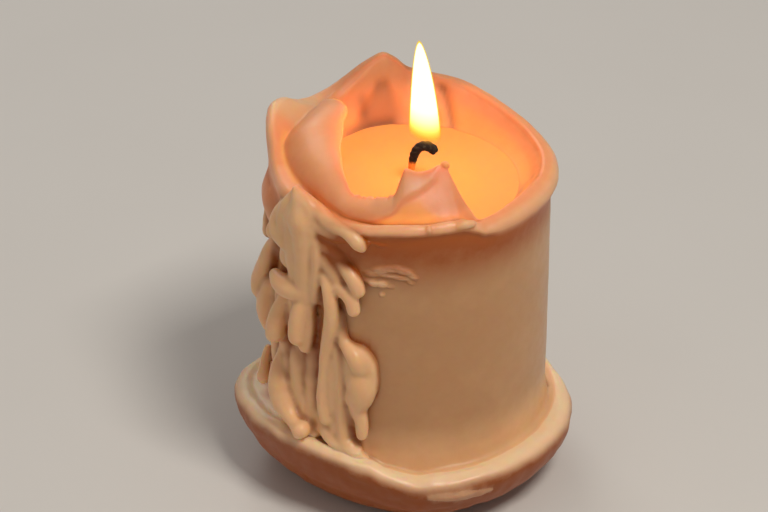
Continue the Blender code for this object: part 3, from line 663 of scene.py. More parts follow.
def nearest(known: np.ndarray) -> kdtree.KDTree:
    """Makes a search tree over points.

    Args:
        known: the points, one a row.

    Returns:
        The tree, which finds the nearest of them to any place.
    """
    tree = kdtree.KDTree(len(known))
    for number, point in enumerate(known):
        tree.insert(point, number)
    tree.balance()
    return tree


def tubes(name: str, paths: Iterable[np.ndarray], sides: int) -> bpy.types.Object:
    """Round bars along paths, with a radius at each point and rounded ends, as one mesh.

    Args:
        name: the object's name.
        paths: each (point, x y z radius) in millimetres.
        sides: a quarter of the facets round each bar.

    Returns:
        The new object.
    """
    curve = bpy.data.curves.new(name, "CURVE")
    curve.dimensions = "3D"
    curve.bevel_depth = MM
    curve.bevel_resolution = sides
    curve.use_fill_caps = True
    for path in paths:
        path = with_round_ends(path)
        spline = curve.splines.new("POLY")
        spline.points.add(len(path) - 1)
        corners = np.concatenate([path[:, :3] * MM, np.ones((len(path), 1))], 1)
        spline.points.foreach_set("co", corners.ravel())
        spline.points.foreach_set("radius", path[:, 3])
    obj = bpy.data.objects.new(name, curve)
    bpy.context.scene.collection.objects.link(obj)
    pick(obj)
    bpy.ops.object.convert(target="MESH")
    obj = bpy.context.object
    obj.name = obj.data.name = name
    bpy.ops.object.mode_set(mode="EDIT")
    bpy.ops.mesh.select_all(action="SELECT")
    bpy.ops.mesh.remove_doubles(threshold=1e-6)
    bpy.ops.mesh.normals_make_consistent(inside=False)
    bpy.ops.object.mode_set(mode="OBJECT")
    return obj


def with_round_ends(path: np.ndarray) -> np.ndarray:
    """Adds a half ball to each end of a path, as points whose radius falls away.

    Args:
        path: (point, x y z radius) in millimetres.

    Returns:
        The longer path.
    """
    swings = np.radians([22, 42, 60, 75, 86])
    ends = []
    for end, inside in ((path[0], path[1]), (path[-1], path[-2])):
        away = end[:3] - inside[:3]
        away = away / np.linalg.norm(away)
        centres = end[:3] + away * (end[3] * np.sin(swings))[:, None]
        ends.append(np.concatenate([centres, (end[3] * np.cos(swings))[:, None]], 1))
    return np.concatenate([ends[0][::-1], path, ends[1]])


# ---------------------------------------------------------------------------------------------
# Materials
# ---------------------------------------------------------------------------------------------

Colour = tuple[float, float, float]


@dataclass(frozen=True)
class Term:
    """A socket in a node tree, so that sums over a surface are written as Python ones."""

    shader: "Shader"
    socket: bpy.types.NodeSocket

    def maths(self, operation: str, other: "Term | float", swapped: bool = False) -> "Term":
        """One Math node on this term and another, in this order unless swapped."""
        pair = (other, self) if swapped else (self, other)
        return self.shader.node("ShaderNodeMath", {"operation": operation}, dict(enumerate(pair)))

    def __add__(self, other: "Term | float") -> "Term":
        """This term plus another."""
        return self.maths("ADD", other)

    def __radd__(self, other: float) -> "Term":
        """A number plus this term."""
        return self.maths("ADD", other, swapped=True)

    def __sub__(self, other: "Term | float") -> "Term":
        """This term less another."""
        return self.maths("SUBTRACT", other)

    def __rsub__(self, other: float) -> "Term":
        """A number less this term."""
        return self.maths("SUBTRACT", other, swapped=True)

    def __mul__(self, other: "Term | float") -> "Term":
        """This term times another."""
        return self.maths("MULTIPLY", other)

    def __rmul__(self, other: float) -> "Term":
        """A number times this term."""
        return self.maths("MULTIPLY", other, swapped=True)

    def __truediv__(self, other: "Term | float") -> "Term":
        """This term over another."""
        return self.maths("DIVIDE", other)

    def __rtruediv__(self, other: float) -> "Term":
        """A number over this term."""
        return self.maths("DIVIDE", other, swapped=True)

    def __pow__(self, other: "Term | float") -> "Term":
        """This term to a power."""
        return self.maths("POWER", other)

    def clip(self) -> "Term":
        """This term kept between 0 and 1."""
        return self.ramp(0, 1, smooth=False)

    def ramp(self, low: float, high: float, smooth: bool = True) -> "Term":
        """0 at low and 1 at high, and held at those beyond them.

        Args:
            low: the value that becomes 0.
            high: the value that becomes 1; it may be below low.
            smooth: whether the rise eases in and out.

        Returns:
            The new term.
        """
        kind = {"interpolation_type": "SMOOTHSTEP" if smooth else "LINEAR"}
        if low > high:
            return 1 - self.ramp(high, low, smooth)
        sockets = {"Value": self, "From Min": low, "From Max": high, "To Min": 0.0, "To Max": 1.0}
        return self.shader.node("ShaderNodeMapRange", kind, sockets)


class Shader:
    """A Principled material under construction."""

    def __init__(self, name: str) -> None:
        """Starts a material with a Principled shader and nothing else.

        Args:
            name: the material's name.
        """
        self.material = bpy.data.materials.new(name)
        self.material.use_nodes = True
        self.tree = self.material.node_tree
        self.principled = self.tree.nodes["Principled BSDF"]
        metres = self.node("ShaderNodeTexCoord", output="Object")
        self.place = self.node(
            "ShaderNodeVectorMath", {"operation": "SCALE"}, {0: metres, "Scale": 1 / MM}
        )
        self.x, self.z = (
            self.node("ShaderNodeSeparateXYZ", sockets={0: self.place}, output=axis) for axis in "XZ"
        )

    def node(
        self,
        kind: str,
        settings: Mapping[str, object] | None = None,
        sockets: Mapping[str | int, object] | None = None,
        output: str | int = 0,
    ) -> Term:
        """Adds one node.

        Args:
            kind: the node's type.
            settings: its properties, set before its sockets; stops are a colour ramp's.
            sockets: values or terms for its inputs, by name or number.
            output: the output to return.

        Returns:
            That output, as a term.
        """
        made = self.tree.nodes.new(kind)
        for name, value in (settings or {}).items():
            if name == "stops":
                self.set_stops(made.color_ramp, value)
            else:
                setattr(made, name, value)
        for key, value in (sockets or {}).items():
            self.feed(made.inputs[key], value)
        return Term(self, made.outputs[output])

    @staticmethod
    def set_stops(ramp: bpy.types.ColorRamp, stops: Sequence[tuple[float, Colour]]) -> None:
        """Gives a colour ramp its stops.

        Args:
            ramp: the ramp, which is changed.
            stops: the position and colour of each stop, in order.
        """
        while len(ramp.elements) < len(stops):
            ramp.elements.new(1.0)
        for element, (position, colour) in zip(ramp.elements, stops, strict=True):
            element.position = position
            element.color = (*colour, 1)

    def feed(self, socket: bpy.types.NodeSocket, value: object) -> None:
        """Links a term to a socket, or sets the socket's own value.

        Args:
            socket: the input.
            value: the term, number, vector or colour for it.
        """
        if isinstance(value, Term):
            self.tree.links.new(value.socket, socket)
        elif isinstance(value, tuple) and len(value) == 3 and socket.type == "RGBA":
            socket.default_value = (*value, 1)
        else:
            socket.default_value = value

    def surface(self, **sockets: object) -> None:
        """Sets the Principled shader's inputs, with _ for each space in their names."""
        for name, value in sockets.items():
            self.feed(self.principled.inputs[name.replace("_", " ")], value)

    def attribute(self, name: str) -> Term:
        """The number that a mesh keeps at each vertex under this name."""
        return self.node("ShaderNodeAttribute", {"attribute_name": name}, output="Fac")

    def noise(self, size: float, detail: float = 3, rough: float = 0.5, warp: float = 0) -> Term:
        """Soft noise from 0 to 1, with patches of this size in millimetres."""
        sockets = {"Vector": self.place, "Scale": 1 / size, "Detail": detail, "Roughness": rough}
        return self.node("ShaderNodeTexNoise", sockets={**sockets, "Distortion": warp})

    def cells(self, size: float) -> Term:
        """The distance to the nearest of scattered points, about this far apart in millimetres."""
        sockets = {"Vector": self.place, "Scale": 1 / size}
        return self.node("ShaderNodeTexVoronoi", sockets=sockets, output="Distance")

    def blend(self, share: Term | float, first: object, second: object) -> Term:
        """The first colour, turning into the second as the share goes from 0 to 1."""
        settings = {"data_type": "RGBA", "clamp_factor": True}
        return self.node("ShaderNodeMix", settings, {0: share, 6: first, 7: second}, output=2)

    def tinted(self, colour: Term | Colour, tint: Term | Colour, share: Term | float = 1.0) -> Term:
        """A colour multiplied by another."""
        settings = {"data_type": "RGBA", "blend_type": "MULTIPLY", "clamp_factor": True}
        return self.node("ShaderNodeMix", settings, {0: share, 6: colour, 7: tint}, output=2)

    def distance(self, point: tuple[float, float, float]) -> Term:
        """How far each place is from this point, in millimetres."""
        settings = {"operation": "DISTANCE"}
        return self.node("ShaderNodeVectorMath", settings, {0: self.place, 1: point}, "Value")

    def dimming(self) -> Term:
        """What the flame's light is divided by at each place: 1 at its heart, 2 at its reach."""
        return 1 + (self.distance(FLAME_HEART) / FLAME_REACH) ** 2

    def bump(self, height: Term, reach: float, below: Term | None = None) -> Term:
        """A bump from a height of 0 to 1, worth this many millimetres.

        Args:
            height: the height over the surface.
            reach: what a height of 1 is worth, in millimetres.
            below: another bump that this one lies on.

        Returns:
            The bumped normal.
        """
        sockets = {"Strength": 1.0, "Distance": reach * MM, "Height": height}
        if below is not None:
            sockets["Normal"] = below
        return self.node("ShaderNodeBump", sockets=sockets)


@dataclass(frozen=True)
class WaxFinish:
    """Set paraffin wax: satin and cloudy, with a painted glow where the flame shines through it."""

    # Ivory, bisque and tan, by the pale mark: the wax's tone, with lit tops painted paler and the
    # pillar's side darker.
    ivory: Colour = (0.97, 0.70, 0.445)
    bisque: Colour = (0.87, 0.53, 0.28)
    # The tint of the painted shade, and of the blotches on the crater's right wall.
    shade_tint: Colour = (0.40, 0.35, 0.33)
    tan: Colour = (0.57, 0.305, 0.14)
    # Peach and gold: the painted glow where the flame shines through the wax.
    peach: Colour = (0.86, 0.35, 0.155)
    gold: Colour = (0.95, 0.45, 0.13)
    # Amber: painted shade under the lip, in the fold, round the runs, in creases and under the puddle,
    # glowing a little near the top.
    amber: Colour = (0.35, 0.08, 0.005)
    mottled: Colour = (0.90, 0.84, 0.78)
    light: Colour = (1.0, 0.23, 0.03)
    roughness: float = 0.40
    scatter: float = 1.4
    coat: float = 0.1
    brightness: float = 0.42

    def material(self) -> bpy.types.Material:
        """Makes the material, which paints light and shade from the glow, amber, hollow, pale and shade
        on the mesh.

        Returns:
            The wax's material.
        """
        wax = Shader("set_wax")
        glow = wax.attribute("glow")
        amber = wax.attribute("amber")
        hollow = wax.attribute("hollow")
        pale = wax.attribute("pale")
        shade = wax.attribute("shade")
        clouds = wax.noise(16, detail=4)
        mottle = wax.noise(3.2, detail=4, rough=0.6)
        streaks = wax.noise(5.0, detail=5, rough=0.65)
        # Ridges are painted lighter as a painted highlight, and creases darker as painted shade.
        ridge = (0 - hollow).ramp(0.0, 0.3)
        crease = hollow.ramp(0.0, 0.26)

        # The wax's tone by the pale mark, partly painted light: paler on lit tops, darker on the
        # pillar's side.
        pallor = pale + (clouds - 0.5) * 0.4
        side = wax.blend(pallor.ramp(0.0, 0.6, smooth=False), self.tan, self.bisque)
        side = wax.blend(pallor.ramp(0.65, 1.0), side, self.ivory)
        # Painted glow where the flame shines through.
        side = wax.blend(glow.ramp(0.05, 0.75), side, self.peach)
        side = wax.blend(glow.ramp(0.78, 1.0), side, self.gold)
        # Painted shade: amber where the amber mark and the creases lie.
        depth = amber * (1.1 + (streaks - 0.5) * 0.6) + crease * 0.7
        side = wax.blend(depth.clip(), side, self.amber)
        side = wax.blend(ridge * (1 - amber) * 0.4, side, self.ivory)
        # Painted shade where the shade mark lies.
        side = wax.tinted(side, self.shade_tint, shade)
        colour = wax.tinted(side, self.mottled, (mottle - 0.4) * 0.8)

        # The painted glow, also given out as light, with a little on the amber near the top.
        lit = glow**2 + amber * wax.z.ramp(70, 88) * 0.3
        shine = lit * (1 - shade * 0.6) / wax.dimming()
        light = wax.blend(shine, (0, 0, 0), self.light)

        broad = wax.noise(7, detail=2)
        skin_noise = wax.noise(1.1, detail=3, rough=0.6)
        pits = wax.cells(2.6).ramp(0.0, 0.22)
        rough = glow.ramp(0.84, 0.94) * 0.25 + shade * 0.3
        relief = wax.bump(broad, 0.14)
        relief = wax.bump(skin_noise, 0.03, relief)
        relief = wax.bump(pits, 0.015, relief)
        wax.surface(
            Base_Color=colour,
            Roughness=self.roughness + (mottle - 0.5) * 0.22 + rough,
            Subsurface_Weight=1.0,
            Subsurface_Radius=(1.0, 0.42, 0.16),
            Subsurface_Scale=self.scatter * MM,
            IOR=1.44,
            Emission_Color=light,
            Emission_Strength=self.brightness,
            Coat_Weight=(1 - amber).clip() * self.coat,
            Coat_Roughness=0.25,
            Normal=relief,
        )
        return wax.material


@dataclass(frozen=True)
class MoltenFinish:
    """Liquid wax: clear gold and very smooth, with a painted glow that is brightest round the wick."""

    gold: Colour = (0.95, 0.405, 0.09)
    peach: Colour = (0.94, 0.42, 0.13)
    light: Colour = (1.0, 0.25, 0.03)
    roughness: float = 0.16
    scatter: float = 2.5
    coat: float = 0.08
    brightness: float = 0.44
    brightest: tuple[float, float, float] = (2.0, 0.0, POOL_HEIGHT)
    spread: float = 30.0

    def material(self) -> bpy.types.Material:
        """Makes the material.

        Returns:
            The liquid's material.
        """
        wax = Shader("molten_wax")
        # Painted glow: gold and bright round the wick and the flame, peach and dimmer further out.
        out = wax.distance(self.brightest) / self.spread
        swirl = wax.noise(9, detail=3, warp=0.6)
        glow_falloff = (out + (swirl - 0.5) * 0.35).clip()
        colour = wax.blend(glow_falloff, self.gold, self.peach)
        shine = (1 - glow_falloff * 0.9) ** 2 * 0.35 + 1 / wax.dimming()
        light = wax.blend(shine.clip(), (0.0, 0.0, 0.0), self.light)
        ripple = wax.bump(wax.noise(12, detail=1), 0.05)
        wax.surface(
            Base_Color=colour,
            Roughness=self.roughness,
            Subsurface_Weight=1.0,
            Subsurface_Radius=(1.0, 0.5, 0.15),
            Subsurface_Scale=self.scatter * MM,
            IOR=1.38,
            Coat_Weight=self.coat,
            Coat_Roughness=0.05,
            Emission_Color=light,
            Emission_Strength=self.brightness,
            Normal=ripple,
        )
        return wax.material


@dataclass(frozen=True)
class CottonFinish:
    """Braided cotton: soaked and golden below, charred black above, with an ember at the tip."""

    soaked: Colour = (0.86, 0.36, 0.06)
    char: Colour = (0.006, 0.005, 0.005)
    ash: Colour = (0.022, 0.017, 0.015)
    ember: Colour = (1.0, 0.12, 0.01)
    brightness: float = 0.6
    scorched: float = 87.6
    charred: float = 88.8
    tip: tuple[float, float, float] = (6.9, 0.0, 91.0)

    def material(self) -> bpy.types.Material:
        """Makes the material.

        Returns:
            The wick's material.
        """
        cotton = Shader("charred_cotton")
        grain = cotton.noise(0.5, detail=4, rough=0.7)
        burnt = (cotton.z + (grain - 0.5) * 1.2).ramp(self.scorched, self.charred)
        black = cotton.blend(grain.ramp(0.45, 0.7), self.char, self.ash)
        colour = cotton.blend(burnt, self.soaked, black)
        hot = cotton.distance(self.tip).ramp(1.2, 0.2) * grain.ramp(0.5, 0.7)
        fibres = cotton.bump(cotton.noise(0.22, detail=4, rough=0.7), 0.12)
        cotton.surface(
            Base_Color=colour,
            Roughness=0.55 + burnt * 0.4,
            Emission_Color=cotton.blend(hot, (0, 0, 0), self.ember),
            Emission_Strength=self.brightness,
            Normal=fibres,
        )
        return cotton.material


@dataclass(frozen=True)
class FlameFinish:
    """Burning gas: one of the flame's nested veils, which fades out towards its slanting foot.

    Args:
        name: the material's name.
        foot: the height where the veil begins.
        tip: the height where it ends.
        stops: (share of the height, colour) from the foot to the tip.
        strength: how bright it is.
        body: how solid it is above its foot, from 0 to 1.
        rise: how far above the foot it is at its most solid.
        slant: how much lower the foot is for each millimetre to the right.
        hinge: how far to the right the foot is at its stated height.
    """

    name: str
    foot: float
    tip: float
    stops: tuple[tuple[float, Colour], ...]
    strength: float
    body: float
    rise: float
    slant: float = 0.26
    hinge: float = 7.4

    def material(self) -> bpy.types.Material:
        """Makes the material.

        Returns:
            The veil's material.
        """
        gas = Shader(self.name)
        level = gas.z + (gas.x - self.hinge) * self.slant
        up = level.ramp(self.foot, self.tip, smooth=False)
        colour = gas.node("ShaderNodeValToRGB", {"stops": self.stops}, {0: up})
        gas.surface(
            Base_Color=(0.0, 0.0, 0.0),
            Roughness=1.0,
            Specular_IOR_Level=0.0,
            Alpha=level.ramp(self.foot, self.foot + self.rise) * self.body,
            Emission_Color=colour,
            Emission_Strength=self.strength,
        )
        return gas.material


@dataclass(frozen=True)
class FloorFinish:
    """A plain pale floor, matt, with a faint tooth."""

    pale: Colour = (0.68, 0.655, 0.62)
    clouded: Colour = (0.96, 0.955, 0.95)

    def material(self) -> bpy.types.Material:
        """Makes the material.

        Returns:
            The floor's material.
        """
        floor = Shader("pale_floor")
        cloud = floor.noise(60, detail=3)
        colour = floor.tinted(self.pale, self.clouded, cloud)
        floor.surface(
            Base_Color=colour,
            Roughness=0.75,
            Normal=floor.bump(floor.noise(1.5, detail=2), 0.02),
        )
        return floor.material


# ---------------------------------------------------------------------------------------------
# Pieces
# ---------------------------------------------------------------------------------------------


def seat(
    obj: bpy.types.Object, material: bpy.types.Material, slot: Slot, *nodes: str
) -> bpy.types.Object:
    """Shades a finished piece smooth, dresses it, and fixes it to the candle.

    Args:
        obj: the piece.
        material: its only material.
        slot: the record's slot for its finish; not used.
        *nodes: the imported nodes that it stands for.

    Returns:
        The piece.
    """
    pick(obj)
    bpy.ops.object.shade_smooth()
    obj.data.materials.clear()
    obj.data.materials.append(material)
    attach(obj, "root")
    if nodes:
        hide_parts(*nodes)
    return obj


Loft = tuple[list[tuple], list[int]]
"""Rings of (radius, height, glow, amber), and how many rows lead from each to the next."""


@dataclass(frozen=True)
class RimSection:
    """The rim's section at each angle round the pillar, with heights above the rim's level.

    Args:
        angles: where round the pillar, in degrees.
        flare: the radius where the rim stands out furthest.
        lip_r: the lip's radius, and lip_h its height.
        fold_r: the radius where the band begins, and fold_h its height.
        edge_r: the free edge's radius, and edge_h its height.
        belly: how far the band swells outwards.
        thick: how thick the free edge is.
        plain: 1 where the rim is one plain crest with no band, down to 0.
        teeth: how far the torn free edge rises and falls.
    """

    angles: np.ndarray
    flare: np.ndarray
    lip_r: np.ndarray
    lip_h: np.ndarray
    fold_r: np.ndarray
    fold_h: np.ndarray
    edge_r: np.ndarray
    edge_h: np.ndarray
    belly: np.ndarray
    thick: np.ndarray
    plain: np.ndarray
    teeth: np.ndarray

    @property
    def run(self) -> np.ndarray:
        """How far out the free edge is from the fold, below 0 where it leans in."""
        return self.edge_r - self.fold_r

    @property
    def climb(self) -> np.ndarray:
        """How far the free edge is above the fold."""
        return self.edge_h - self.fold_h

    @property
    def length(self) -> np.ndarray:
        """The distance from the fold to the free edge, never quite 0."""
        return np.maximum(np.hypot(self.run, self.climb), 0.1)

    def near(self, low: float, high: float, soft: float) -> np.ndarray:
        """1 between these angles, falling to 0 over the soft width on each side."""
        return window(self.angles, low, high, soft)


@dataclass
class WaxBody:
    """The set wax: pillar, rim, band, runs, smear and puddle, fused into one piece."""

    pillar_radius: float = PILLAR_RADIUS
    rim_height: float = RIM_HEIGHT
    pool_level: float = POOL_HEIGHT - RIM_HEIGHT
    pool_radius: float = POOL_RADIUS
    pool_depth: float = 4.2
    fillet: float = 2.3
    tear: float = 0.17
    foot_radius: float = 27.0
    wall: float = 2.2
    columns: int = 372
    crowding: tuple = ((128, 306, 12, 1.0), (238, 304, 4, 1.2), (94, 122, 8, 0.6))
    band_rows: int = 20
    smear_angles: tuple[float, float] = (249.0, 273.5)
    smear_heights: tuple[float, float] = (81.6, 68.6)
    voxel: float = 0.43
    webbing: float = 0.4
    finish: WaxFinish = field(default_factory=WaxFinish)

    def build(self) -> list[bpy.types.Object]:
        """Makes the wax and dresses it.

        Returns:
            The wax alone.
        """
        angles = crowded(self.columns, self.crowding)
        rows = refine(*self.key_rings(angles))
        rings = around(rows[..., 0], angles, rows[..., 1])
        body = skin("candle_wax", rings)
        self.pocket(body)
        self.fuse(body, self.smear(), reach=0.4, rounds=2)
        on_run = self.fuse(body, self.runs(), reach=2.0, rounds=10)
        self.weather(body)
        self.mark(body, rings.reshape(-1, 3), rows[..., 2:].reshape(-1, 2), on_run)
        return [seat(body, self.finish.material(), Slot.WAX, "wax_body")]

    def key_rings(self, angles: np.ndarray) -> tuple[np.ndarray, list[int]]:
        """The rings that the skin passes through, from the foot to the crater's floor.

        Args:
            angles: where round the pillar, in degrees.

        Returns:
            The rings as (ring, column, radius height glow amber), and the rows for each span.
        """
        puddle, puddle_steps = self.puddle_rings(angles)
        rim, rim_steps = self.rim_rings(angles)
        crater = self.rim_height + self.pool_level
        floor = [
            (self.pool_radius * 0.95, crater - self.pool_depth * 0.55, 1.0, 0.0),
            (self.pool_radius * 0.86, crater - self.pool_depth, 1.0, 0.0),
        ]
        keys = []
        for ring in puddle + rim + floor:
            keys.append(np.stack([np.broadcast_to(part, angles.shape) for part in ring], axis=1))
        return np.array(keys, float), [*puddle_steps, *rim_steps, 2]

    def puddle_rings(self, angles: np.ndarray) -> Loft:
        """The rings of the puddle and of the pillar's lower side.

        Args:
            angles: where round the pillar, in degrees.

        Returns:
            The rings, and the rows for each span.
        """
        outer, lip, inner, floor = (stations(PUDDLE, column, angles) for column in range(1, 5))
        path = around(40.0, angles, 0.0)
        front = window(angles, 205, 355, 30)
        outer = outer + 0.5 * lumps(path, 9.0, 2) * (0.4 + 0.6 * front)
        inner = inner + 0.35 * lumps(path, 6.0, 2, 40.0) * front
        lip = lip + 0.45 * lumps(path, 8.0, 2, 80.0) * (0.4 + 0.6 * front)
        foot, side = self.foot_radius, self.pillar_radius
        # The last number of each ring is painted shade (amber): full under the puddle, fading up the
        # lip's outer side.
        rings = [(foot, 0.0, 0.0, 1.0)]
        for share in (0.12, 0.34, 0.58, 0.8):
            swing = share * math.pi / 2
            reach = foot + (outer - 0.4 - foot) * math.sin(swing)
            rings.append((reach, (lip - 3.2) * (1 - math.cos(swing)) ** 0.8, 0.0, 1.0))
        middle = (outer + inner) / 2
        rings += [
            # the lip's outer side, its crest, and its inner side
            (outer, lip - 2.6, 0.0, 0.9),
            (outer - 0.3 * (outer - middle), lip - 0.8, 0.0, 0.12),
            (middle, lip, 0.0, 0.0),
            (inner + 0.35 * (middle - inner), lip - 0.3, 0.0, 0.0),
            (inner, floor + 0.5 * (lip - floor), 0.0, 0.0),
            # the floor, the corner where it meets the pillar with a little painted shade, and the
            # pillar's side
            (0.5 * inner + 0.5 * side, floor + 0.4 * (lip - floor), 0.0, 0.03),
            (side + 0.4, floor + 0.6 * (lip - floor) + 0.5, 0.0, 0.05),
            (side, floor + 3.0, 0.0, 0.03),
            (side, 44.0, 0.0, 0.0),
        ]
        return rings, [3, 4, 4, 4, 4, 3, 3, 3, 3, 2, 2, 3, 10, 12]

    def rim_rings(self, angles: np.ndarray) -> Loft:
        """The rings of the rim, from the pillar's upper side to the pool's edge.

        Args:
            angles: where round the pillar, in degrees.

        Returns:
            The rings, and the rows for each span.
        """
        rim = self.section(angles)
        outside, outside_steps = self.outside(rim)
        inside, inside_steps = self.inside(rim)
        rings = outside + self.band(rim) + inside
        rings = [(radius, height + self.rim_height, *marks) for radius, height, *marks in rings]
        return rings, [*outside_steps, *[1] * self.band_rows, *inside_steps]

    def section(self, angles: np.ndarray) -> RimSection:
        """The rim's section, from its table, with the small waves of its free edge.

        Args:
            angles: where round the pillar, in degrees.

        Returns:
            The section at each angle.
        """
        flare, lip_r, lip_h, fold_r, fold_h, edge_r, edge_h, belly, thick = (
            stations(RIM, column, angles) for column in range(1, 10)
        )
        turn = np.radians(angles)
        teeth = np.sin(turn * 113) + 0.8 * np.sin(turn * 71 + 1.3) + 0.6 * np.sin(turn * 173 + 0.4)
        teeth *= self.tear * window(angles, 242, 262, 3)
        plain = plainness(edge_h - fold_h)
        scallop = window(angles, 303, 338, 8) * np.sin(turn * 46)
        edge_r = edge_r + 0.22 * scallop
        edge_h = edge_h - 0.55 * plain + 0.16 * scallop
        belly = belly * (1 - plain)
        return RimSection(
            angles, flare, lip_r, lip_h, fold_r, fold_h, edge_r, edge_h, belly, thick, plain, teeth
        )

    def outside(self, rim: RimSection) -> Loft:
        """The rings outside the rim, from the pillar's side over the lip to the fold.

        Args:
            rim: the rim's section.

        Returns:
            The rings, and the rows for each span.
        """
        side, flare, lip_r, lip_h = self.pillar_radius, rim.flare, rim.lip_r, rim.lip_h
        bulge = rim.near(178, 190, 15)
        bead = rim.near(246, 300, 10)
        front = rim.near(232, 352, 16)
        left = rim.near(176, 208, 8)
        horn = rim.near(138, 164, 8)
        deep = rim.near(212, 262, 8)
        under = (lip_h - 6.0) * (1 - bulge) - 4.4 * bulge
        neck = side + 0.1 + 0.25 * (flare - side) * (1 - bulge) + 0.8 * bulge
        across = lip_r + 0.45 * (rim.fold_r - lip_r), lip_h + 0.35 * (rim.fold_h - lip_h)
        rings = [
            # radius, height, painted glow and painted shade (amber): the pillar's side, and the bulge
            # at the left
            (side, -19.5, 0.04, 0.0),
            (side + 1.6 * bulge, -14.5, 0.14 + 0.4 * bulge, 0.16 + 0.16 * front),
            (
                side + 2.6 * bulge,
                np.minimum(-9.8, lip_h - 9.2),
                0.20 + 0.45 * bulge,
                0.36 + 0.34 * front + 0.15 * bulge,
            ),
            # the neck under the lip, where the painted shade is deepest, and the lip's underside
            (neck, under, 0.26 + 0.4 * bulge + 0.3 * left, 0.42 + 0.55 * front + 0.2 * bulge),
            (
                flare - 0.4 * (1 - bulge) - 0.5 * bead,
                lip_h - 4.2 + 0.9 * bead,
                0.4 + 0.25 * left,
                0.25 + 0.6 * front + 0.2 * bulge,
            ),
            # the lip, where it stands out furthest, on its shoulder and at its top
            (flare, lip_h - 2.6 + 0.8 * bead, 0.42 + 0.1 * left, 0.05 + 0.1 * front),
            (flare - 0.3 * (flare - lip_r), lip_h - 0.9 + 0.2 * bead, 0.48, 0.0),
            (lip_r, lip_h, 0.56 - 0.2 * horn, 0.0),
            # the way across to the fold, and the fold, with some painted shade in it
            (*across, 0.58 + 0.2 * left - 0.4 * horn, 0.1 * deep),
            (
                rim.fold_r,
                rim.fold_h,
                0.62 + 0.38 * left - 0.2 * horn + 0.26 * front * (1 - rim.plain),
                0.12 * (1 - rim.plain) + 0.28 * deep,
            ),
        ]
        return rings, [4, 5, 3, 3, 2, 2, 3, 2, 3, 2]

    def band(self, rim: RimSection) -> list[tuple]:
        """The rings across the band, from its fold to just short of its free edge.

        On the front flap the part above a slanting crease stands proud, as a soft roll.

        Args:
            rim: the rim's section.

        Returns:
            Rings of (radius, height, glow, amber).
        """
        out_r, out_h = rim.climb / rim.length, -rim.run / rim.length
        crease = np.interp(rim.angles, *np.transpose(CREASE))
        plain = plainness(rim.climb)
        lobe = rim.near(145, 222, 14)
        horn = rim.near(138, 166, 8)
        flap = rim.near(256, 291, 8)
        step = 0.45 * rim.near(252, 279, 9)
        thin = flap * (1 - 0.6 * rim.near(286, 300, 14))
        rings = []
        for row in range(self.band_rows):
            share = 0.06 + 0.86 * row / (self.band_rows - 1)
            swell = rim.belly * math.sin(math.pi * share**0.85)
            swell = swell + 0.5 * plain * math.sin(math.pi * share) * (1 - share)
            past = (share - crease) / 0.2
            rise = np.clip(past + 0.5, 0, 1)
            roll = (rise * rise * (3 - 2 * rise)) * (1 - 0.4 * np.clip(past / 6, 0, 1)) * step
            dip = 0.3 * np.exp(-((past + 0.45) ** 2)) * step
            off = swell + roll - dip
            near_edge = np.clip((share - 0.8 + 0.14 * lobe) / (0.18 + 0.1 * lobe), 0, 1) ** 1.6
            near_edge = near_edge * (1 - plain)
            # Painted glow, strongest by the free edge and on the flap below the crease; the amber is
            # painted shade by the fold.
            glow = 0.46 + 0.3 * (1 - share) ** 4 * (1 - plain) * (1 - horn) + 0.16 * plain
            glow = glow + 0.54 * near_edge + 0.46 * thin * (1 - rise)
            rings.append(
                (
                    rim.fold_r + rim.run * share + out_r * off,
                    rim.fold_h + rim.climb * share + out_h * off + rim.teeth * near_edge,
                    np.clip(glow, 0, 1),
                    0.3 * (1 - share) ** 2 * (1 - flap) * (1 - plain),
                )
            )
        return rings

    def inside(self, rim: RimSection) -> Loft:
        """The rings inside the rim, from its free edge down the crater's wall to the pool.

        Where the rim is plain, the wall is one smooth bowl. Elsewhere it goes under the band.

        Args:
            rim: the rim's section.

        Returns:
            The rings, and the rows for each span.
        """
        edge_r, edge_h, thick = rim.edge_r, rim.edge_h, rim.thick
        tip = np.minimum(thick, 0.6 * rim.length)
        under_r, under_h = edge_r + 0.25 * thick, edge_h - thick
        wall_r = np.clip(rim.fold_r - self.wall, self.pool_radius - 2.0, self.pool_radius + 1.6)
        wall_h = np.minimum(rim.fold_h - 0.6, under_h - 0.8)
        foot_r, foot_h = self.pool_radius - self.fillet, self.pool_level - 0.14
        path = [
            (0.04, edge_r + 0.15 * tip, edge_h + 0.1 * tip + rim.teeth),
            (0.13, edge_r - 0.1 * thick, edge_h - 0.35 * thick + 0.7 * rim.teeth),
            (0.26, under_r, under_h),
        ]
        for share in (0.35, 0.7):
            lean = rim.belly * 0.5 * math.sin(math.pi * share) / rim.length
            reach = under_r + (wall_r - under_r) * share + rim.climb * lean
            level = under_h + (wall_h - under_h) * share - rim.run * lean
            path.append((0.26 + 0.44 * share, reach, level))
        path.append((0.7, wall_r, wall_h))
        path.append((0.86, 0.5 * (wall_r + foot_r), 0.45 * wall_h + 0.55 * foot_h))
        tall = rim.plain * np.clip((edge_h - 2.0) / 8.0, 0, 1)
        rings = []
        for share, reach, level in path:
            bowl_r = edge_r + (foot_r - edge_r) * share
            bowl_h = edge_h + (foot_h - edge_h) * share * (1.3 - 0.3 * share)
            radius = reach + (bowl_r - reach) * rim.plain
            height = level + (bowl_h - level) * rim.plain
            # Painted glow, dimmer high on the plain wall and at the peak.
            glow = 0.95 - 0.45 * tall * (1 - share) - 0.28 * rim.plain * (1 - share) ** 3
            rings.append((radius, height, glow, 0.0))
        return [*rings, (foot_r, foot_h, 0.9, 0.0)], [2, 2, 3, 3, 3, 3, 3, 2]

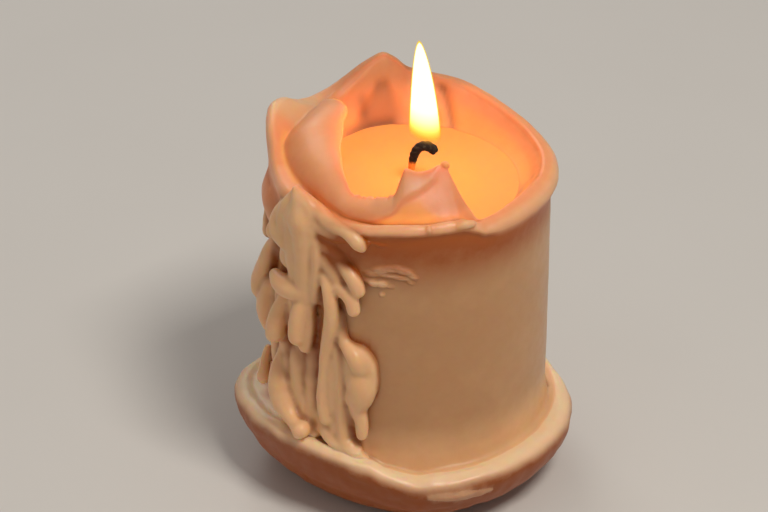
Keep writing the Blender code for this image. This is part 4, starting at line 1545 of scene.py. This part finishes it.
    def hollows(self, spots: Spots) -> tuple[np.ndarray, np.ndarray, np.ndarray]:
        """Where the hollows inside the back wall are.

        Args:
            spots: places on the wax.

        Returns:
            The weight of the pointed hollow under the peak, of its dark corners, and of the groove
            beside it, from 0 to 1 at each place.
        """
        angle = spots.angle
        up = (spots.height - self.rim_height - self.pool_level) / BACK_HEIGHT
        inside = window(spots.radius, 0, 32.3, 0.7) * window(up, 0.0, 1.2, 0.04)
        half = 14.0 * np.clip(1 - up / 0.92, 0, 1) ** 0.9
        off = (angle - 106.0 + 3.0 * up) / np.maximum(half, 3.4)
        arch = np.clip((1.5 - np.abs(off)) / 1.1, 0, 1)
        arch = inside * arch * arch * (3 - 2 * arch) * window(up, 0, 0.72, 0.2)
        corner = np.exp(-(((angle - 114.5) / 3.2) ** 2)) * window(up, 0.3, 0.5, 0.25)
        corner += np.exp(-((up / 0.13) ** 2)) * window(angle, 101, 126, 5)
        groove = np.exp(-(((angle - 67.4 - 12.1 * up) / 2.3) ** 2)) * window(up, 0.05, 0.62, 0.25)
        return arch, inside * corner, inside * groove

    def pocket(self, body: bpy.types.Object) -> None:
        """Hollows the inside of the back wall under the peak.

        Args:
            body: the wax, which is changed.
        """
        spots = Spots(places(body))
        arch, corner, groove = self.hollows(spots)
        depth = 0.5 * arch + 0.5 * arch * corner + 0.5 * groove
        outwards = spots.points * (1, 1, 0) / spots.radius.clip(1)[:, None]
        put(body, spots.points + outwards * depth[:, None])

    def runs(self) -> bpy.types.Object:
        """The runs, fused into one skin.

        Returns:
            The new object.
        """
        paths = []
        for number, run in enumerate(RUNS):
            keys = np.array(run, float)[:, None, :]
            spans = [max(4, round(abs(b[1] - a[1]) * 1.4)) for a, b in pairwise(run)]
            rows = refine(keys, spans)[:, 0]
            points = around(self.pillar_radius + rows[:, 3], rows[:, 0], rows[:, 1])
            girth = rows[:, 2] * (1 + 0.08 * lumps(points, 4.0, 2, 11.0 * number))
            paths.append(np.concatenate([points, girth[:, None]], 1))
        runs = tubes("runs", paths, 6)
        apply_modifier(runs, "REMESH", mode="VOXEL", voxel_size=self.voxel * MM)
        apply_modifier(runs, "DISPLACE", strength=self.webbing * MM, mid_level=0.0)
        apply_modifier(runs, "REMESH", mode="VOXEL", voxel_size=self.voxel * MM)
        apply_modifier(runs, "SMOOTH", factor=0.5, iterations=5)
        apply_modifier(runs, "DISPLACE", strength=-self.webbing * MM, mid_level=0.0)
        return runs

    def smear(self) -> bpy.types.Object:
        """The smear, as a thin patch whose face sinks into the pillar where there is no wax.

        Returns:
            The new object.
        """
        angle, height = np.meshgrid(
            np.linspace(*self.smear_angles, 104), np.linspace(*self.smear_heights, 66), indexing="ij"
        )
        arc = self.pillar_radius * np.radians(angle)
        mound = np.zeros(angle.shape)
        for middle, level, wide, tall, rise, tilt in SMEAR:
            turn = math.radians(tilt)
            across = arc - self.pillar_radius * math.radians(middle)
            up = height - level
            along = (across * math.cos(turn) + up * math.sin(turn)) / wide
            beside = (up * math.cos(turn) - across * math.sin(turn)) / tall
            dab = rise * np.exp(-((along**2 + beside**2) ** 1.6))
            mound = np.maximum(mound, dab) + 0.25 * np.minimum(mound, dab)
        arch = 0.010 * (angle - 261.5) ** 2
        streaks = lumps(
            np.stack([arc / 3.4, (height + arch) / 0.5, 0 * arc], 2).reshape(-1, 3), 1.0, 3, 5.0
        ).reshape(angle.shape)
        face = mound * (0.9 + 0.24 * streaks) - 0.16
        front = np.stack([self.pillar_radius + face, angle, height], 2)
        back = front[:, ::-11].copy()
        back[..., 0] = self.pillar_radius - 1.0
        loops = np.concatenate([front, back], 1)
        return skin("smear", around(*np.moveaxis(loops, 2, 0)))

    @staticmethod
    def fuse(
        body: bpy.types.Object, piece: bpy.types.Object, reach: float, rounds: int
    ) -> np.ndarray:
        """Joins a piece to the body and softens the corner where they meet.

        Args:
            body: the lofted wax, which is changed.
            piece: the piece, which is used up.
            reach: how far from the corner the softening goes.
            rounds: how often it is repeated.

        Returns:
            1 for each of the body's vertices that came from the piece, and 0 for the others.
        """
        for obj, name in ((body, "body_side"), (piece, "piece_side")):
            obj.data.materials.clear()
            obj.data.materials.append(bpy.data.materials.new(name))
        for solver in Solver:
            before = len(body.data.vertices)
            apply_modifier(
                body,
                "BOOLEAN",
                operation="UNION",
                object=piece,
                solver=solver.value,
                material_mode="TRANSFER",
            )
            if len(body.data.vertices) > before:
                break
        bpy.data.objects.remove(piece)
        keep_largest_shell(body)
        side = np.empty(len(body.data.polygons), np.int32)
        body.data.polygons.foreach_get("material_index", side)
        touched = [set(), set()]
        for polygon, index in zip(body.data.polygons, side, strict=True):
            touched[min(index, 1)].update(polygon.vertices)
        seam = sorted(touched[0] & touched[1])
        LOG.info("seam: %d vertices", len(seam))
        points = places(body)
        tree = nearest(points[seam])
        away = np.array([tree.find(p)[2] if p[0] < SOFT_SEAMS_END else reach for p in points])
        weight = np.clip(1 - away / reach, 0, 1) ** 0.7
        group = body.vertex_groups.new(name="seam")
        for level in range(1, 11):
            members = np.flatnonzero(np.ceil(weight * 10) == level)
            group.add([int(m) for m in members], level / 10, "REPLACE")
        apply_modifier(body, "SMOOTH", factor=0.6, iterations=rounds, vertex_group="seam")
        body.vertex_groups.clear()
        from_piece = np.zeros(len(points))
        from_piece[list(touched[1])] = 1
        return from_piece

    def weather(self, body: bpy.types.Object) -> None:
        """Gives the wax the unevenness of a thing that melted.

        Args:
            body: the wax, which is changed.
        """
        spots = Spots(places(body))
        outside = np.clip((spots.radius - self.pool_radius - 0.6) / 1.5, 0, 1)
        puddle, rim, side = spots.on(Area.PUDDLE), spots.on(Area.RIM), spots.on(Area.SIDE)
        broad = lumps(spots.points, 13.0, 2)
        fine = lumps(spots.points, 3.4, 2, 30.0)
        along = np.stack([np.radians(spots.angle) * 40 / 7, spots.radius, spots.height], 1)
        shift = puddle * (0.30 * broad + 0.16 * fine) + rim * (0.14 * broad + 0.09 * fine)
        shift += side * (0.10 * broad + 0.03 * fine) * (1 - 0.8 * spots.on(Area.SMEAR))
        shift += 0.34 * puddle * spots.on(Area.WRINKLES) * lumps(along, 1.7, 2, 60.0)
        flat = np.clip(spots.height / 1.5, 0, 1)
        put(body, spots.points + normals(body) * (shift * flat * outside)[:, None])

    def mark(
        self,
        body: bpy.types.Object,
        known: np.ndarray,
        values: np.ndarray,
        on_run: np.ndarray,
    ) -> None:
        """Keeps on the mesh what its finish reads at each place.

        These are the painted glow where the flame shows through (glow); the painted shade under the
        lip, in the fold, round the runs and on the puddle's outer side and underside, glowing a little
        near the top (amber); the painted light that makes the puddle, most of all its lip, the rim's
        top and the proud runs paler, and the paler raised smear (pale); where its hollows and its
        ridges are (hollow, above and below 0), which the finish paints as shade and highlight; and the
        painted shade in the crater's back wall, on the peak and on the flap, with darker blotches on
        its right wall (shade).

        Args:
            body: the wax, which is changed.
            known: the places of the loft, in millimetres.
            values: glow and amber at those places.
            on_run: 1 at the vertices of the runs.
        """
        tree = nearest(known)
        spots = Spots(places(body))
        edges = links(body)
        found = np.array([tree.find(point)[1] for point in spots.points])
        glow, amber = averaged(values[found], edges, 6).T
        near_run = averaged(on_run[:, None], edges, 8)[:, 0]
        proud = near_run * spots.on(Area.PROUD_RUNS)
        proud *= 1 - 0.55 * spots.on(Area.PUDDLE_FOOT)

        # How sunk each place is, which the finish paints as shade in creases and as a highlight on
        # ridges.
        sunk = averaged(spots.points, edges, 10) - spots.points
        hollow = averaged((sunk * normals(body)).sum(1)[:, None], edges, 3)[:, 0]
        smear = spots.on(Area.SMEAR_SKIN) * (1 - near_run)
        hollow *= 1 - spots.on(Area.CRATER)
        hollow *= 1 - 0.85 * smear
        hollow *= 1 - spots.on(Area.PUDDLE_FLOOR)
        hollow *= 1 - 0.85 * spots.on(Area.FOLD)

        # Painted shade in the crater's back wall, on the peak and on the flap, and darker blotches on
        # its right wall.
        arch, corner, groove = self.hollows(spots)
        shade = np.clip(0.5 * arch + 0.5 * corner + 0.45 * groove, 0, 1)
        shade += 0.5 * spots.on(Area.PEAK) + 0.22 * spots.on(Area.FLAP)
        blotches = np.clip(lumps(spots.points, 5.0, 2, 17.0), 0, 1)
        shade += 0.5 * blotches * spots.on(Area.BLOTCHES)

        # Painted glow, less on the proud runs and under the painted shade.
        paint(body, "glow", glow * (1 - 0.95 * proud) * (1 - 0.25 * shade))
        # Painted shade (amber), with more in the grooves round the runs near the pillar.
        amber = amber * (1 - 0.95 * proud) + 0.6 * near_run * spots.on(Area.UNDER_RUNS)
        paint(body, "amber", np.clip(amber, 0, 1))
        paint(body, "hollow", hollow)
        # Paler on the puddle, most of all its lip, on the rim's top and on the proud runs, as painted
        # light, and on the raised smear.
        smear *= window(spots.radius, self.pillar_radius + 0.6, 38, 0.5)
        low = spots.on(Area.PUDDLE_TOP) * (0.45 + 0.55 * spots.on(Area.PUDDLE_LIP))
        top = 0.5 * spots.on(Area.TOP)
        pale = np.maximum.reduce([0.6 * proud, 0.9 * smear, low, top])
        paint(body, "pale", np.clip(pale, 0, 1))
        paint(body, "shade", np.clip(shade, 0, 1))


@dataclass
class MeltPool:
    """The molten wax, level but for the curl where it wets the wall and the wick."""

    level: float = POOL_HEIGHT
    radius: float = POOL_RADIUS + 0.3
    depth: float = 3.4
    curl: float = 0.04
    wick_radius: float = 1.2
    columns: int = 144
    finish: MoltenFinish = field(default_factory=MoltenFinish)

    def build(self) -> list[bpy.types.Object]:
        """Makes the pool and dresses it.

        Returns:
            The pool alone.
        """
        low = self.level - self.depth
        outline = [(0.0, low), (self.radius * 0.84, low), (self.radius * 0.95, low + 1.2)]
        outline += [(self.radius, self.level + self.curl)]
        for back in (0.25, 0.6, 1.1, 1.8, 2.8, 4.5):
            outline.append((self.radius - back, self.level + self.curl * math.exp(-back / 0.7)))
        for out in np.linspace(22.0, 4.0, 10):
            outline.append((float(out), self.level))
        for out in (2.9, 2.2, 1.7, 1.35):
            climb = 0.7 * math.exp(-(out - self.wick_radius) / 0.55)
            outline.append((out, self.level + climb))
        outline.append((self.wick_radius * 0.9, self.level + 0.75))
        outline.append((0.0, self.level + 0.75))
        pool = turned("molten_pool", outline, self.columns)
        return [seat(pool, self.finish.material(), Slot.MOLTEN, "melt_pool")]


@dataclass
class Wick:
    """The braided wick, burnt and curled over at its top."""

    path: tuple[tuple[float, float], ...] = (
        (0.0, 76.0),
        (-0.1, 81.0),
        (0.0, 85.5),
        (0.35, 88.7),
        (1.0, 91.0),
        (2.2, 92.5),
        (3.7, 92.75),
        (4.9, 92.3),
        (5.6, 91.4),
    )
    steps: tuple[int, ...] = (8, 8, 6, 6, 6, 6, 6, 6)
    strand: float = 0.50
    offset: float = 0.46
    swelling: float = 0.34
    strands: int = 4
    pitch: float = 5.2
    voxel: float = 0.11
    finish: CottonFinish = field(default_factory=CottonFinish)

    def line(self) -> np.ndarray:
        """The wick's centre line, in millimetres."""
        rows = refine(np.array(self.path)[:, None, :], self.steps)[:, 0]
        return np.stack([rows[:, 0], np.zeros(len(rows)), rows[:, 1]], 1)

    def build(self) -> list[bpy.types.Object]:
        """Makes the wick and dresses it.

        Returns:
            The wick alone.
        """
        line = self.line()
        travel = np.concatenate([[0], np.cumsum(np.linalg.norm(np.diff(line, axis=0), axis=1))])
        ahead = np.gradient(line, axis=0)
        ahead /= np.linalg.norm(ahead, axis=1, keepdims=True)
        across = np.stack([ahead[:, 2], 0 * travel, -ahead[:, 0]], 1)
        depth = np.tile([0.0, 1.0, 0.0], (len(line), 1))
        burnt = np.clip((travel - travel[-1] * 0.5) / (travel[-1] * 0.25), 0, 1)
        paths = []
        for number in range(self.strands):
            phase = 2 * math.pi * (number / self.strands + travel / self.pitch)
            reach = self.offset + 0.3 * self.swelling * burnt
            swing = across * np.cos(phase)[:, None] + depth * np.sin(phase)[:, None]
            point = line + swing * reach[:, None]
            rough = 1 + 0.2 * burnt * lumps(point, 0.8, 2, 9.0 * number)
            girth = (self.strand + 0.7 * self.swelling * burnt) * rough
            paths.append(np.concatenate([point, girth[:, None]], 1))
        heart = np.concatenate([line, np.full((len(line), 1), self.strand)], 1)
        wick = tubes("braided_wick", [*paths, heart], 3)
        apply_modifier(wick, "REMESH", mode="VOXEL", voxel_size=self.voxel * MM)
        apply_modifier(wick, "SMOOTH", factor=0.5, iterations=2)
        return [seat(wick, self.finish.material(), Slot.WICK, "wick")]


@dataclass
class Flame:
    """The flame, as nested veils of gas that lean together."""

    foot: float = 94.7
    height: float = 28.8
    radius: float = 4.25
    lean: tuple[float, float, float] = (3.4, 0.8, 0.85)  # at the foot, and how it falls with height
    columns: int = 64

    def veil(
        self, name: str, scale: float, low: float, high: float, arch: float
    ) -> bpy.types.Object:
        """One drop-shaped veil, hollow below.

        Args:
            name: the object's name.
            scale: its girth, as a share of the flame's.
            low: where it begins, as a share of the flame's height.
            high: where it ends.
            arch: how far its hollow foot rises, in millimetres.

        Returns:
            The new object.
        """
        outline = [(0.0, low * self.height + arch)]
        for share in (0.3, 0.6, 0.83):
            outline.append(
                (self.radius * scale * share, low * self.height + arch * (1 - share**2.2))
            )
        for k in range(41):
            t = k / 40
            girth = self.radius * scale * max(1 - t**1.35, 0) ** 0.6
            girth *= 1 - 0.03 * (1 - t) ** 6
            outline.append((girth, (low + (high - low) * t) * self.height))
        obj = turned(name, [(r, h + self.foot) for r, h in outline], self.columns)
        points = places(obj)
        up = (points[:, 2] - self.foot) / self.height
        start, tilt, bend = self.lean
        points[:, 0] += start - tilt * up - bend * up * up
        put(obj, points)
        return obj

    def build(self) -> list[bpy.types.Object]:
        """Makes the veils and dresses them.

        Returns:
            The finished pieces, the outer one first.
        """
        foot, tip = self.foot, self.foot + self.height
        amber, gold, lemon = (1.0, 0.36, 0.02), (1.0, 0.55, 0.04), (1.0, 0.78, 0.08)
        cream, white = (1.0, 0.86, 0.40), (1.0, 0.95, 0.80)
        edge = ((0, amber), (0.14, gold), (1, gold))
        body = ((0, gold), (0.12, lemon), (1, lemon))
        heart = ((0, lemon), (0.14, cream), (0.26, white))
        veils = (
            # a finish (name, foot, tip, stops, strength, body, rise), then scale, low, high, arch
            (FlameFinish("flame_edge", foot - 0.4, tip, edge, 1.05, 0.35, 2.6), (1, 0, 1, 1.6)),
            (FlameFinish("flame_body", foot + 0.2, tip, body, 1.15, 0.7, 2.8), (0.95, 0.01, 0.99, 1.6)),
            (FlameFinish("flame_heart", foot + 1.4, tip, heart, 6, 1, 4.6), (0.9, 0.03, 0.975, 1.2)),
        )
        pieces = []
        for finish, shape in veils:
            nodes = () if pieces else ("flame",)
            piece = seat(self.veil(finish.name, *shape), finish.material(), Slot.FLAME, *nodes)
            piece.visible_shadow = False
            piece.visible_diffuse = False
            pieces.append(piece)
        return pieces


# ---------------------------------------------------------------------------------------------
# Studio
# ---------------------------------------------------------------------------------------------


@dataclass
class Studio:
    """A pale floor, soft lights, the flame's own light, and the camera.

    Its places and sizes are in metres, apart from the lens and the sensor, in millimetres.
    """

    target: tuple[float, float, float] = (-0.00695, 0.0, 0.0596)
    distance: float = 0.988
    elevation: float = 33.0
    lens: float = 180.0
    sensor: float = 36.0
    floor_side: float = 6.0
    sky: Colour = (1.0, 0.96, 0.92)
    sky_strength: float = 0.24
    softboxes: tuple = (
        # name, place, side, watts, tint
        ("key_light", (0.32, -0.40, 0.95), 0.28, 6.0, (1.0, 0.95, 0.88)),
        ("fill_light", (-0.75, -0.45, 0.40), 0.8, 0.7, (1.0, 0.92, 0.84)),
        ("back_light", (-0.3, 0.8, 0.7), 0.5, 2.0, (1.0, 0.98, 0.96)),
    )
    flame_lights: tuple = (
        # name, place
        ("low_flame_light", (0.0035, 0.0, 0.100)),
        ("high_flame_light", (0.0035, 0.0, 0.110)),
    )
    flame_watts: float = 0.0042
    flame_size: float = 0.003
    flame_tint: Colour = (1.0, 0.50, 0.17)

    def build(self) -> None:
        """Sets up everything round the candle."""
        bpy.context.scene.view_settings.view_transform = "Standard"
        self.floor()
        self.world()
        self.lights()
        self.camera()

    def floor(self) -> None:
        """Lays a wide floor under the candle."""
        bpy.ops.object.select_all(action="DESELECT")
        bpy.ops.mesh.primitive_plane_add(size=self.floor_side, location=(0, 0, 0))
        plane = bpy.context.object
        plane.name = plane.data.name = "floor"
        plane.data.materials.append(FloorFinish().material())

    def world(self) -> None:
        """Makes an even, dim sky."""
        world = bpy.data.worlds.new("studio")
        world.use_nodes = True
        back = world.node_tree.nodes["Background"]
        back.inputs["Color"].default_value = (*self.sky, 1)
        back.inputs["Strength"].default_value = self.sky_strength
        bpy.context.scene.world = world

    def lights(self) -> None:
        """Hangs the softboxes, and puts two small lights in the flame."""
        for name, place, side, watts, tint in self.softboxes:
            box = bpy.data.lights.new(name, "AREA")
            box.size = side
            box.energy = watts
            box.color = tint
            self.stand(box, Vector(place))
        for name, place in self.flame_lights:
            point = bpy.data.lights.new(name, "POINT")
            point.shadow_soft_size = self.flame_size
            point.energy = self.flame_watts
            point.color = self.flame_tint
            self.stand(point, Vector(place))

    def camera(self) -> None:
        """Sets up a long lens that looks down on the candle from the front."""
        data = bpy.data.cameras.new("camera")
        data.lens = self.lens
        data.sensor_width = self.sensor
        lift = math.radians(self.elevation)
        back = Vector((0.0, -math.cos(lift), math.sin(lift)))
        camera = self.stand(data, Vector(self.target) + back * self.distance)
        bpy.context.scene.camera = camera

    def stand(self, data: bpy.types.ID, place: Vector) -> bpy.types.Object:
        """Puts a light or a camera in its place, facing the candle.

        Args:
            data: the light or the camera, which gives the object its name.
            place: where it stands.

        Returns:
            The new object.
        """
        obj = bpy.data.objects.new(data.name, data)
        obj.location = place
        obj.rotation_mode = "QUATERNION"
        obj.rotation_quaternion = (Vector(self.target) - place).to_track_quat("-Z", "Y")
        bpy.context.scene.collection.objects.link(obj)
        return obj


def main() -> None:
    """Builds the candle and its studio, in order."""
    logging.basicConfig(level=logging.INFO, format="%(name)s: %(message)s")
    for sub_assembly in (WaxBody(), MeltPool(), Wick(), Flame()):
        for piece in sub_assembly.build():
            piece.data.calc_loop_triangles()
            LOG.info("%s: %d triangles", piece.name, len(piece.data.loop_triangles))
    Studio().build()


if __name__ == "__main__":
    main()
